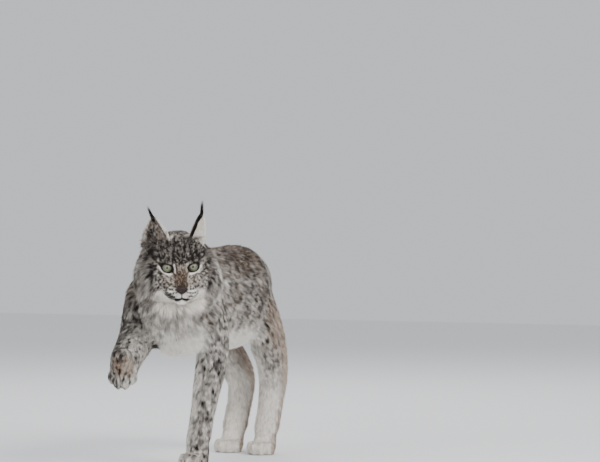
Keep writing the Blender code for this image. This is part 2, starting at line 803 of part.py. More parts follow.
def tail_region(extra):
    """A roomy tube round the tail, from its root on."""
    rows = []
    for x, y, z, across, deep in TAIL[1:]:
        rows.append((x, y - (extra if not rows else 0), z, across + TAIL_ROOM + extra, deep + TAIL_ROOM + extra))
    rows.append((rows[-1][0], rows[-1][1], rows[-1][2] - 0.03, rows[-1][3], rows[-1][4]))
    return limb("tail_region", rows, 3, 16)


def part_body(body):
    """The melted body parted into neck, torso, tail and the three lengths of each leg."""
    made = {}
    for leg, (upper, lower, paw) in NAMES.items():
        region = leg_region(leg, 0)
        whole = copy_of(body, "leg")
        boolean(whole, region, "INTERSECT")
        remove(region)
        keep_largest_body(whole)
        at, down = LOWER_PLANES[leg]
        wrist_at, wrist_down = WRIST_PLANES[paw]
        made[upper] = side_of_plane(copy_of(whole, upper), at, -Vector(down))
        made[lower] = side_of_plane(copy_of(whole, lower), at, down)
        made[paw] = side_of_plane(copy_of(made[lower], paw), wrist_at, wrist_down)
        side_of_plane(made[lower], wrist_at, -Vector(wrist_down))
        remove(whole)
        wider = leg_region(leg, GAP)
        boolean(body, wider, "DIFFERENCE")
        remove(wider)
    made["tail"] = copy_of(body, "tail")
    for obj, extra, operation in ((made["tail"], 0, "INTERSECT"), (body, GAP, "DIFFERENCE")):
        region = tail_region(extra)
        boolean(obj, region, operation)
        remove(region)
    at, out = NECK_PLANE
    made["neck"] = side_of_plane(copy_of(body, "neck"), at, out)
    made["torso"] = side_of_plane(body, at, -Vector(out))
    return made


def finish(obj, name, slot, roughness):
    keep_largest_body(obj)
    obj.name = obj.data.name = name
    obj.data.materials.clear()
    obj.data.materials.append(material(slot, roughness))
    obj.data.shade_smooth()
    obj.data.set_sharp_from_angle(angle=math.radians(50))


def centre_on_floor(objects):
    """Moves all so that the origin is under the middle of the whole, on the floor."""
    points = [v.co for obj in objects for v in obj.data.vertices]
    low = [min(p[i] for p in points) for i in range(3)]
    high = [max(p[i] for p in points) for i in range(3)]
    shift = Matrix.Translation((-(low[0] + high[0]) / 2, -(low[1] + high[1]) / 2, -low[2]))
    for obj in objects:
        obj.data.transform(shift)


def main():
    clear_scene()
    made = part_body(body_form())
    made.update(make_head(made["neck"]))
    at, out = HEAD_PLANE
    side_of_plane(made["head"], at, out)
    seat = grow(head_form(2 * HEAD_VOXEL, HEAD_TRIANGLES // 4), SEAT_GAP)
    seat.data.transform(TO_WORLD)
    side_of_plane(seat, Vector(at) - Vector(out).normalized() * 2 * GAP, out)
    boolean(made["neck"], seat, "DIFFERENCE")
    remove(seat)
    for side in EARS:
        room = grow(ear_form(side), 2 * GAP)
        room.data.transform(TO_WORLD)
        boolean(made["neck"], room, "DIFFERENCE")
        remove(room)
    slots = {"nose": ("nose_leather", 0.45), "eye_left": ("eye", 0.08), "eye_right": ("eye", 0.08)}
    for name, obj in made.items():
        slot, roughness = slots.get(name, ("coat", 0.9))
        finish(obj, name, slot, roughness)
    centre_on_floor(made.values())


main()
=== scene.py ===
import math
import time

import bmesh
import bpy
import numpy as np
from mathutils import Matrix, Vector
from mathutils.bvhtree import BVHTree
from mathutils.kdtree import KDTree


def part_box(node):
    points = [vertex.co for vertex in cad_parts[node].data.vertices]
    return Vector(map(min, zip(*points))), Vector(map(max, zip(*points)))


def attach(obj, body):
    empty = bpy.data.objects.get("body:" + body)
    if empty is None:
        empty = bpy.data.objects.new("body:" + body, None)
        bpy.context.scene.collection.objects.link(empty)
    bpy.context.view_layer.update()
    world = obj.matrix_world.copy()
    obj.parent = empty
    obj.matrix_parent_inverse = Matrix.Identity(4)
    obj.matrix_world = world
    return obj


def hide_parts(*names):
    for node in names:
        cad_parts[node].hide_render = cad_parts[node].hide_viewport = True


# A Eurasian lynx in mid-step. One skin stands for the nodes of flesh, and solid tufts of fur grow from it.
# The animal faces -Y and its left is +X. The shapes are worked out in the same places as in the part,
# and each finished piece is moved by placed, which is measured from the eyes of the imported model.
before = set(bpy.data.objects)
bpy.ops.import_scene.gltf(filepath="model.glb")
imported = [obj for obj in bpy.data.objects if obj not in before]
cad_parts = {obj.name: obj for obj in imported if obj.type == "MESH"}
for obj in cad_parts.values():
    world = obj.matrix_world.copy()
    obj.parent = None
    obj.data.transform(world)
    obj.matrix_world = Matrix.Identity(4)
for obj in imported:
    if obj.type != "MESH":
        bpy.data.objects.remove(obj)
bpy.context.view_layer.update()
started = time.time()


def report(stage):
    print("%5.1f s  %s" % (time.time() - started, stage), flush=True)


eyeMiddles = [sum(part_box(node), Vector()) / 2 for node in ("eye_left", "eye_right")]
placed = Matrix.Translation((eyeMiddles[0] + eyeMiddles[1]) / 2 - Vector((0.085, -0.4, 0.52)))
coatShare = 1.0  # a thinner coat while trying things


# Shapes

def linked(name, data):
    made = bpy.data.objects.new(name, data)
    bpy.context.scene.collection.objects.link(made)
    return made


def newMesh(name, points=(), faces=()):
    mesh = bpy.data.meshes.new(name)
    mesh.from_pydata([tuple(p) for p in points], [], faces)
    mesh.update()
    return linked(name, mesh)


def drop(*objects):
    for old in objects:
        bpy.data.objects.remove(old, do_unlink=True)


def settle(obj):  # applies the modifiers
    bpy.context.view_layer.update()
    made = bpy.data.meshes.new_from_object(obj.evaluated_get(bpy.context.evaluated_depsgraph_get()))
    obj.modifiers.clear()
    obj.data = made
    return obj


def change(obj, kind, **settings):
    made = obj.modifiers.new(kind, kind)
    for name, value in settings.items():
        setattr(made, name, value)


def cut(obj, other, operation="DIFFERENCE", solver="EXACT"):
    change(obj, "BOOLEAN", operation=operation, solver=solver, object=other)
    settle(obj)
    drop(other)
    return obj


def joined(name, objects):
    gathered = bmesh.new()
    for obj in objects:
        gathered.from_mesh(obj.data)
    made = newMesh(name)
    gathered.to_mesh(made.data)
    gathered.free()
    drop(*objects)
    return made


def shadeSmooth(mesh):
    mesh.polygons.foreach_set("use_smooth", np.ones(len(mesh.polygons), bool))


def melted(name, objects, voxel, rounds):  # one closed piece out of many
    made = joined(name, objects)
    change(made, "REMESH", mode="VOXEL", voxel_size=voxel)
    change(made, "SMOOTH", factor=0.5, iterations=rounds)
    return largestPiece(settle(made))


def largestPiece(obj):
    shape = bmesh.new()
    shape.from_mesh(obj.data)
    unseen, islands = set(shape.verts), []
    while unseen:
        stack = [unseen.pop()]
        island = set(stack)
        while stack:
            for edge in stack.pop().link_edges:
                for vert in edge.verts:
                    if vert in unseen:
                        unseen.discard(vert)
                        island.add(vert)
                        stack.append(vert)
        islands.append(island)
    if len(islands) > 1:
        kept = max(islands, key=len)
        bmesh.ops.delete(shape, geom=[v for v in shape.verts if v not in kept], context="VERTS")
        shape.to_mesh(obj.data)
    shape.free()
    return obj


def metres(rows):
    return np.array(rows) / 1000


def smoothPath(stations, steps):  # a curve through every station
    rows = np.array(stations, float)
    ends = np.vstack([2 * rows[0] - rows[1], rows, 2 * rows[-1] - rows[-2]])
    found = []
    for i in range(1, len(ends) - 2):
        a, b, c, d = ends[i - 1:i + 3]
        for t in np.arange(steps) / steps:
            bent = (2 * a - 5 * b + 4 * c - d) * t**2 + (3 * b - a - 3 * c + d) * t**3
            found.append(0.5 * (2 * b + (c - a) * t + bent))
    return np.array(found + [rows[-1]])


def bridged(name, rings):  # a closed skin over rings of equal count
    count = len(rings[0])
    points = [p for ring in rings for p in ring]
    faces = []
    for r in range(len(rings) - 1):
        for k in range(count):
            n = (k + 1) % count
            faces.append((r * count + k, r * count + n, (r + 1) * count + n, (r + 1) * count + k))
    for r, order in ((0, -1), (len(rings) - 1, 1)):
        points.append(sum((Vector(p) for p in rings[r]), Vector()) / count)
        for k in range(count):
            faces.append((*(r * count + k, r * count + (k + 1) % count)[::order], len(points) - 1))
    made = newMesh(name, points, faces)
    shape = bmesh.new()
    shape.from_mesh(made.data)
    bmesh.ops.recalc_face_normals(shape, faces=shape.faces)
    shape.to_mesh(made.data)
    shape.free()
    return made


def ringPoint(angle, half, rise, fall, power):
    c, s = math.cos(angle), math.sin(angle)
    return math.copysign(abs(c) ** power, c) * half, math.copysign(abs(s) ** power, s) * (rise if s > 0 else fall)


def limb(stations, inset, steps=4, count=24):
    rows = smoothPath(stations, steps)
    rings = []
    for i, row in enumerate(rows):
        ahead = Vector(rows[min(i + 1, len(rows) - 1)][:3]) - Vector(rows[max(i - 1, 0)][:3])
        ahead.normalize()
        across = (Vector((1, 0, 0)) - ahead * ahead.x).normalized()
        fore = ahead.cross(across)
        a, b = max(row[3] - inset, 0.004), max(row[4] - inset, 0.004)
        angles = [2 * math.pi * k / count for k in range(count)]
        rings.append([Vector(row[:3]) + across * a * math.cos(t) + fore * b * math.sin(t) for t in angles])
    return bridged("limb", rings)


def ball(centre, radii, turn=None, segments=32, rings=20):
    shape = bmesh.new()
    place = Matrix.Translation(centre) @ (turn or Matrix.Identity(4)) @ Matrix.Diagonal((*radii, 1))
    bmesh.ops.create_uvsphere(shape, u_segments=segments, v_segments=rings, radius=1, matrix=place)
    shape.verts.index_update()
    faces = sorted(tuple(v.index for v in face.verts) for face in shape.faces)  # the same order in every run
    made = newMesh("ball", [v.co for v in shape.verts], faces)
    shape.free()
    return made


# The body under the coat: the part's own stations, and how deep the coat is over each

body = {  # tables in millimetres
    "torso": metres((  # y, middle x, top z, bottom z, half width
        (-262, 12, 478, 352, 50), (-245, 10, 503, 328, 78), (-205, 7, 538, 302, 100), (-150, 3, 558, 290, 113),
        (-80, 0, 559, 287, 117), (-10, 0, 553, 285, 117), (60, 0, 549, 283, 116), (120, 0, 549, 282, 111),
        (180, 0, 551, 286, 101), (226, 0, 549, 302, 91), (266, 0, 541, 326, 82), (301, 0, 526, 354, 71),
        (331, 0, 505, 382, 56), (352, 0, 484, 410, 37))),
    "neck": metres((  # x, y, z, half width, half depth
        (0, -110, 440, 104, 116), (6, -180, 453, 108, 120), (18, -240, 472, 110, 115), (30, -284, 491, 108, 113),
        (40, -318, 499, 96, 107), (48, -340, 495, 74, 88), (55, -356, 484, 50, 52), (59, -364, 480, 22, 22))),
    "foreLeft": metres((
        (40, -150, 480, 34, 62), (70, -178, 415, 46, 76), (78, -168, 355, 44, 66), (75, -146, 302, 42, 53),
        (67, -140, 250, 41, 44), (55, -140, 190, 37, 38), (45, -141, 130, 33, 34), (38, -146, 80, 33, 34),
        (34, -160, 40, 30, 30))),
    "foreRight": metres((
        (-42, -160, 480, 34, 62), (-77, -210, 425, 47, 76), (-84, -240, 375, 48, 66), (-80, -268, 345, 48, 56),
        (-72, -314, 322, 46, 49), (-65, -362, 304, 43, 45), (-61, -400, 284, 42, 42), (-60, -418, 258, 40, 38),
        (-60, -424, 238, 34, 30))),
    "hindLeft": metres((
        (30, 250, 490, 34, 66), (42, 242, 430, 38, 80), (58, 238, 370, 43, 84), (72, 252, 315, 43, 74),
        (73, 285, 268, 42, 60), (66, 318, 230, 40, 52), (60, 338, 192, 38, 46), (57, 334, 148, 35, 38),
        (56, 318, 103, 34, 35), (55, 302, 66, 35, 34), (54, 286, 38, 30, 28))),
    "hindRight": metres((
        (-30, 252, 490, 34, 66), (-44, 254, 430, 40, 80), (-60, 260, 370, 45, 84), (-70, 284, 312, 44, 72),
        (-66, 326, 262, 42, 58), (-56, 366, 224, 40, 51), (-49, 388, 188, 38, 45), (-48, 383, 143, 35, 38),
        (-50, 366, 100, 34, 35), (-51, 349, 64, 35, 34), (-52, 332, 38, 30, 28))),
    "tail": metres((
        (0, 270, 484, 34, 34), (0, 318, 482, 34, 35), (1, 364, 458, 32, 33), (3, 391, 416, 32, 32),
        (5, 402, 374, 32, 32), (6, 404, 340, 26, 26), (6, 403, 324, 13, 13))),
    "coatDepth": {"torso": 0.008, "neck": 0.01, "foreLeft": 0.004, "foreRight": 0.004, "hindLeft": 0.0045,
                  "hindRight": 0.0045, "tail": 0.007, "paw": 0.002},
    "paws": (  # where each stands, and how far its toes point down
        ((0.034, -0.152, 0), 0), ((0.056, 0.282, 0), 0), ((-0.052, 0.328, 0), 0), ((-0.058, -0.404, 0.262), 64)),
    "pawSize": (0.098, 0.074, 0.05),
    "folds": [metres(line) for line in (  # loose skin that carries the neck into the chest and shoulders
        ((36, -318, 452, 84, 62), (26, -296, 408, 88, 62), (16, -268, 366, 86, 58), (8, -232, 335, 78, 52),
         (3, -190, 325, 66, 46)),
        ((-30, -230, 480, 58, 62), (-52, -236, 430, 56, 62), (-64, -250, 385, 50, 54)),
        ((62, -240, 480, 58, 62), (68, -226, 430, 56, 62), (70, -205, 370, 50, 56)))],
    "bulkVoxel": 0.006, "bulkSoftening": 14,
    "voxel": 0.0036, "softening": 5,
    "widest": 0.52, "roundness": 0.92,  # of the trunk: where it is widest, and the power of its ring
}


def trunk(stations, inset):
    rings = []
    for y, middle, top, bottom, half in smoothPath(stations, 3):
        half, top, bottom = max(half - inset, 0.01), top - inset, bottom + inset
        widest = bottom + (top - bottom) * body["widest"]
        sizes = half, top - widest, widest - bottom, body["roundness"]
        ring = [ringPoint(2 * math.pi * k / 48, *sizes) for k in range(48)]
        rings.append([Vector((middle + a, y, widest + b)) for a, b in ring])
    return bridged("torso", rings)


def paw(toward, toesDown, inset, toes):
    length, width, height = body["pawSize"]
    heel = length * 0.2
    if toes:
        pieces = [((side * width * out, heel - length * reach, height * 0.33),
                   (width * size, length * 0.215, height * 0.42))
                  for side in (-1, 1) for reach, out, size in ((0.6, 0.125, 0.19), (0.47, 0.35, 0.172))]
    else:
        pieces = [((0, heel - length * 0.24, height * 0.4), (width * 0.46, length * 0.42, height * 0.54)),
                  ((0, heel - length * 0.1, height * 0.8), (width * 0.42, length * 0.34, height * 0.62))]
    place = Matrix.Translation(toward) @ Matrix.Rotation(math.radians(toesDown), 4, "X")
    made = []
    for centre, radii in pieces:
        made.append(ball(centre, [r - inset for r in radii]))
        made[-1].data.transform(place)
    return made


# The head, in its own axes: x to its left, -y out of the face, z up, from the midpoint between the eyes

head = {
    "place": Matrix.Translation((0.085, -0.4, 0.52)) @ Matrix.Rotation(math.radians(25), 4, "Z")
             @ Matrix.Rotation(math.radians(17.5), 4, "X") @ Matrix.Rotation(math.radians(-2), 4, "Y"),
    "stations": metres((  # out of the face, height where it is widest, rise, drop, half width, in millimetres
        (52, -50, 6, 8, 10), (47, -50, 14, 18, 20), (40, -50, 22, 25, 27), (30, -49, 34, 31, 34),
        (20, -46, 46, 37, 43), (9, -42, 60, 43, 54), (-3, -39, 73, 49, 64), (-17, -38, 84, 55, 72),
        (-35, -38, 94, 61, 79), (-57, -38, 101, 66, 82.5), (-79, -36, 101, 67, 82.5), (-102, -29, 91, 67, 79),
        (-124, -15, 65, 60, 68), (-140, -3, 35, 41, 46))),
    "lumps": (  # middle out of the face, left and up, radii the same way, nod
        ((0.021, 0.0, -0.013), (0.04, 0.016, 0.014), 38), ((0.043, 0.0, -0.0385), (0.017, 0.014, 0.013), 20),
        ((-0.006, 0.03, 0.016), (0.014, 0.019, 0.0085), 0), ((0.033, 0.02, -0.053), (0.0235, 0.02, 0.017), 8),
        ((0.015, 0.029, -0.053), (0.026, 0.018, 0.0175), 0), ((0.031, 0.0, -0.074), (0.02, 0.02, 0.012), 0),
        ((-0.014, 0.05, -0.022), (0.02, 0.018, 0.016), 0)),
    "coatDepth": (0.0008, 0.0045), "coatDeepens": (0.03, 0.08),  # from the muzzle to the crown and cheeks
    "coreVoxel": 0.002, "coreSoftening": 16, "voxel": 0.0014, "softening": 3,
    "lips": {"half": 0.04, "up": -0.064, "bow": 0.005, "groove": 0.0011},
    "nose": ((0.056, 0, -0.0395), (0.011, 0.015, 0.0105)),  # middle and reach of the leather
    "eyeSpacing": 0.065, "eyeRadius": 0.015, "lid": 0.0016,
    "opening": (0.0141, 0.0091, 0.0106), "openingUp": 0.0032,  # half width, rise, drop, height of its middle
    "slant": 0.0022, "eyeOutward": 8,
}
toHead = head["place"].inverted()


def headPoint(out, left, up):
    return Vector((left, -out, up))


eyePlaces = {side: headPoint(0, sign * head["eyeSpacing"] / 2, 0) for side, sign in (("left", 1), ("right", -1))}

ears = {
    "left": {"base": (-0.064, 0.048, 0.046), "tip": (-0.078, 0.061, 0.113), "opens": (0.5, 0.87, 0.05)},
    "right": {"base": (-0.064, -0.056, 0.044), "tip": (-0.078, -0.061, 0.107), "opens": (0.9, -0.44, 0.05)},
    "halfWidth": 0.0375, "taper": 1.35, "narrowing": 0.92, "cup": 0.018, "wall": 0.0038, "arc": math.radians(72),
    "tuftLeans": {"left": (-0.1, 0.12, 1.0), "right": (-0.05, -0.55, 0.84)},
    "tuft": {"hairs": 200, "length": 0.038, "spread": 0.0014, "roots": 0.012, "fray": 0.055, "width": 0.0009},
}


def earFrame(side):
    ear = ears[side]
    base, tip = headPoint(*ear["base"]), headPoint(*ear["tip"])
    along = (tip - base).normalized()
    opens = headPoint(*ear["opens"])
    opens = (opens - along * opens.dot(along)).normalized()
    return base, tip, along, opens, along.cross(opens)


def earCup(side):
    base, tip, along, opens, across = earFrame(side)
    rings = []
    for t in (-0.45, -0.25, -0.08, 0.05, 0.16, 0.28, 0.4, 0.52, 0.63, 0.73, 0.82, 0.9, 0.96, 1.0):
        rise, sunk = max(t, 0), max(-t, 0) / 0.45
        half = ears["halfWidth"] * (1 - rise ** ears["taper"]) ** ears["narrowing"] * (1 - 0.3 * sunk) + 0.0018
        cup = ears["cup"] * (1 - rise) ** 0.6 + 0.001
        wall = ears["wall"] * (1 - 0.3 * rise) * (1 + sunk)
        middle = base + (tip - base) * t
        outer, inner, arc = [], [], ears["arc"]
        for k in range(17):
            angle = arc * (2 * k / 16 - 1)
            sideways = math.sin(angle) / math.sin(arc)
            depth = (math.cos(angle) - math.cos(arc)) / (1 - math.cos(arc))
            outer.append(middle + across * sideways * (half + wall * 0.4) - opens * (cup * depth + wall * 0.5))
            inner.append(middle + across * sideways * (half - wall * 0.6) - opens * (cup * depth - wall * 0.5))
        rings.append(outer + inner[::-1])
    return bridged("ear", rings)


def lidOpening(side):
    (half, rise, fall), sign = head["opening"], 1 if side == "left" else -1
    outline = []
    for k in range(48):
        c, s = math.cos(2 * math.pi * k / 48), math.sin(2 * math.pi * k / 48)
        z = (rise if s > 0 else fall) * math.copysign(abs(s) ** 1.2, s) + head["slant"] * c + head["openingUp"]
        outline.append((sign * half * c, z))
    turn = Matrix.Rotation(sign * math.radians(head["eyeOutward"]), 3, "Z")
    ends = [[eyePlaces[side] + turn @ Vector((x, -out, z)) for x, z in outline] for out in (0.002, 0.04)]
    return bridged("opening", ends)


def tube(points, radii, count=8):
    rings, before = [], None
    for i, point in enumerate(points):
        ahead = (points[min(i + 1, len(points) - 1)] - points[max(i - 1, 0)]).normalized()
        across = ahead.orthogonal() if before is None else before - ahead * before.dot(ahead)
        before = across.normalized()
        other = ahead.cross(before)
        angles = [2 * math.pi * k / count for k in range(count)]
        rings.append([point + (before * math.cos(a) + other * math.sin(a)) * radii[i] for a in angles])
    return bridged("tube", rings)


def meshTree(mesh, matrix=Matrix()):
    return BVHTree.FromPolygons([matrix @ v.co for v in mesh.vertices], [p.vertices for p in mesh.polygons])


def mouthPath(tree):
    points, lips = [], head["lips"]
    for k in range(41):
        left = lips["half"] * (2 * k / 40 - 1)
        share = abs(left) / lips["half"]
        up = lips["up"] - lips["bow"] * math.sin(math.pi * min(1.0, share * 1.15)) + lips["bow"] * share**3
        hit = tree.ray_cast(headPoint(0.12, left, up), headPoint(-1, 0, 0))[0]
        points.append(hit + Vector((0, 0.0002, 0)))
    return points


def headInset(out):  # how deep the coat is, this far out of the face
    (near, far), (first, over) = head["coatDepth"], head["coatDeepens"]
    return near + (far - near) * min(1, max(0, (first - out) / over))


def makeHeadSkin():
    rings = []
    for out, widest, rise, fall, half in smoothPath(head["stations"], 3):
        inset = headInset(out)
        sizes = half - inset, rise - inset, fall - inset, 0.94
        ring = [ringPoint(2 * math.pi * k / 64 + math.pi / 2, *sizes) for k in range(64)]
        rings.append([headPoint(out - inset * 0.3, a, widest + b) for a, b in ring])
    pieces = [bridged("head", rings)]
    for centre, radii, nod in head["lumps"]:
        inset = headInset(centre[0])
        for side in ((1, -1) if centre[1] else (1,)):
            middle = headPoint(centre[0], side * centre[1], centre[2])
            turn = Matrix.Rotation(math.radians(nod), 4, "X")
            pieces.append(ball(middle, (radii[1] - inset, radii[0] - inset, radii[2] - inset), turn, 48, 32))
    core = melted("core", pieces, head["coreVoxel"], head["coreSoftening"])
    lids = [ball(place, (head["eyeRadius"] + head["lid"],) * 3, None, 48, 32) for place in eyePlaces.values()]
    cups = [earCup(side) for side in ("left", "right")]
    skin = melted("headSkin", [core, *lids, *cups], head["voxel"], head["softening"])
    change(skin, "DECIMATE", ratio=0.6)
    settle(skin)
    for side, place in eyePlaces.items():
        cut(skin, lidOpening(side))
        cut(skin, ball(place, (head["eyeRadius"] + 0.0002,) * 3, None, 64, 48))
    path = mouthPath(meshTree(skin.data))
    cut(skin, tube(path, [head["lips"]["groove"]] * len(path)))
    skin.data.transform(head["place"])
    return largestPiece(skin), [head["place"] @ p for p in path]


regions = ("torso", "neck", "foreLeft", "foreRight", "hindLeft", "hindRight", "tail", "head")


def makeBodySkin():
    depth = body["coatDepth"]
    pieces = [trunk(body["torso"], depth["torso"])]
    pieces += [limb(body[name], depth[name]) for name in regions[1:-1]]
    pieces += [limb(line, depth["neck"]) for line in body["folds"]]
    toes = []
    for toward, toesDown in body["paws"]:
        pieces += paw(toward, toesDown, depth["paw"], False)
        toes += paw(toward, toesDown, depth["paw"], True)
    bulk = melted("bulk", pieces, body["bulkVoxel"], body["bulkSoftening"])
    made = melted("bodySkin", [bulk, *toes], body["voxel"], body["softening"])
    change(made, "DECIMATE", ratio=0.5)
    settle(made)
    for vert in made.data.vertices:
        vert.co.z = max(vert.co.z, 0.0006)
    return made


headSkin, mouth = makeHeadSkin()
report("head skin, %d faces" % len(headSkin.data.polygons))
skin = makeBodySkin()
report("body skin, %d faces" % len(skin.data.polygons))
cut(skin, headSkin, "UNION", "MANIFOLD")
largestPiece(skin)
change(skin, "TRIANGULATE")
settle(skin)
skin.name = skin.data.name = "skin"
report("one skin, %d triangles" % len(skin.data.polygons))


# What the coat does at each place of the skin

def arrays(obj):
    def gathered(source, what, kind=float):
        found = np.empty(len(source) * 3, kind)
        source.foreach_get(what, found)
        return found.reshape(-1, 3)

    mesh = obj.data
    corners = gathered(mesh.polygons, "vertices", np.int32)
    return gathered(mesh.vertices, "co"), gathered(mesh.vertices, "normal"), corners


def unit(v):
    return v / np.maximum(np.linalg.norm(v, axis=-1, keepdims=True), 1e-9)


def step(x, low, high):  # 0 at low, 1 at high, smooth between
    t = np.clip((x - low) / (high - low), 0, 1)
    return t * t * (3 - 2 * t)


def noise(points, scale, seed=0):  # soft value noise from -1 to 1
    p = points / scale + seed * 17.17
    cell = np.floor(p).astype(np.int64)
    f = p - cell
    f = f * f * (3 - 2 * f)
    total = 0
    for corner in range(8):
        o = np.array([corner & 1, corner >> 1 & 1, corner >> 2 & 1])
        c = cell + o
        h = (c[:, 0] * 73856093 ^ c[:, 1] * 19349663 ^ c[:, 2] * 83492791 ^ seed * 2654435761) & 0xFFFFFFFF
        h = (h ^ (h >> 13)) * 1274126177 & 0xFFFFFFFF
        value = ((h ^ (h >> 16)) & 0xFFFF) / 32767.5 - 1
        total = total + value * np.prod(np.where(o, f, 1 - f), axis=1)
    return total


def chainOf(name):  # x, y, z and mean radius down the middle of a region
    if name == "head":
        found = []
        for out, widest, rise, fall, half in head["stations"][::-1]:
            p = head["place"] @ headPoint(out, 0, widest + (rise - fall) / 2)
            found.append((*p, (half + (rise + fall) / 2) / 2))
        return np.array(found)
    rows = smoothPath(body[name], 2)
    if name == "torso":
        return np.array([(x, y, (top + low) / 2, (half + (top - low) / 2) / 2) for y, x, top, low, half in rows])
    return np.array([(*r[:3], (r[3] + r[4]) / 2) for r in rows])


def alongChain(name, points):  # how near, how far along, the middle there and its way on
    chain = chainOf(name)
    best = np.full(len(points), 1e9)
    place, centre, tangent = np.zeros(len(points)), np.zeros_like(points), np.zeros_like(points)
    run = 0
    for a, b in zip(chain[:-1], chain[1:]):
        ab = b[:3] - a[:3]
        length = np.linalg.norm(ab)
        f = np.clip((points - a[:3]) @ ab / length**2, 0, 1)
        c = a[:3] + f[:, None] * ab
        score = np.linalg.norm(points - c, axis=1) / (a[3] + (b[3] - a[3]) * f)
        better = score < best
        best[better], place[better], centre[better] = score[better], run + f[better] * length, c[better]
        tangent[better] = ab / length
        run += length
    return best, place / run, centre, tangent


def inHead(points):  # out of the face, left, up
    m = np.array(toHead)
    local = points @ m[:3, :3].T + m[:3, 3]
    return np.stack([-local[:, 1], local[:, 0], local[:, 2]], axis=1)


def headVector(out, left, up):
    m = np.array(head["place"])[:3, :3]
    return np.stack([left, -out, up], axis=-1) @ m.T


ruff = {  # root out of the face, left, up, the way the hair lies there, its length
    "line": ((-0.05, 0.074, 0.03, -0.7, 0.6, -0.1, 0.008), (-0.046, 0.074, 0.008, -0.52, 0.8, -0.14, 0.024),
             (-0.042, 0.075, -0.018, -0.42, 0.8, -0.42, 0.03), (-0.036, 0.07, -0.044, -0.34, 0.66, -0.66, 0.036),
             (-0.028, 0.057, -0.068, -0.3, 0.42, -0.84, 0.042), (-0.02, 0.038, -0.083, -0.26, 0.22, -0.93, 0.04),
             (-0.014, 0.012, -0.088, -0.24, 0.03, -0.96, 0.032)),
    "breadth": 0.016,
}

earWays = {side: [np.array(head["place"] @ v if i < 2 else head["place"].to_3x3() @ v)
                  for i, v in enumerate(earFrame(side))] for side in ("left", "right")}


def earHalf(t, least):
    return ears["halfWidth"] * np.clip(1 - np.clip(t, 0, 1) ** ears["taper"], least, 1) ** ears["narrowing"]


def onEar(points, side):  # along the ear, across it and out of its cup, with how surely the point is on it
    base, tip, along, opens, across = earWays[side]
    length = np.linalg.norm(tip - base)
    off = points - base
    t, a, o = off @ along / length, off @ across, off @ opens
    inside = step(t, 0.02, 0.16) * (np.abs(a) < earHalf(t, 0) + 0.006) * (o < 0.01) * (o > -0.032)
    return t, a, o, inside


coat = {  # hair length, lift in degrees, width, tufts per square centimetre
    "torso": (0.026, 30, 0.00122, 34), "neck": (0.032, 33, 0.00112, 76), "foreLeft": (0.014, 22, 0.00107, 44),
    "foreRight": (0.014, 22, 0.00107, 44),
    "hindLeft": (0.017, 24, 0.00112, 38), "hindRight": (0.017, 24, 0.00112, 38),
    "tail": (0.02, 32, 0.00105, 60), "head": (0.0095, 24, 0.0008, 130),
    "muzzle": (0.0042, 20, 0.0006, 240), "ear": (0.006, 16, 0.00065, 190), "paw": (0.007, 20, 0.00085, 85),
    "tuftsToALock": 15, "seed": 4, "lockShade": (0.16, 0.1), "lockShare": 0.6, "lockPull": 0.42,
    "lengths": (0.72, 1.22), "liftSpread": 5, "swerve": (0.12, 0.26, 0.012), "curl": 0.36, "droop": 0.06, "roll": 0.8,
    "sunk": 0.0006, "guard": {"share": 0.1, "longer": 1.08, "lift": 4, "lockPull": 0.08},
    "faceStarts": -0.034, "lie": {"torso": (0, 1, -0.3), "neck": (0, 0.75, -0.62), "limbs": (0, 0.12, 0)},
    "partsFrom": (0.058, 0, -0.036), "rightPaw": (-0.06, -0.428, 0.248),
}


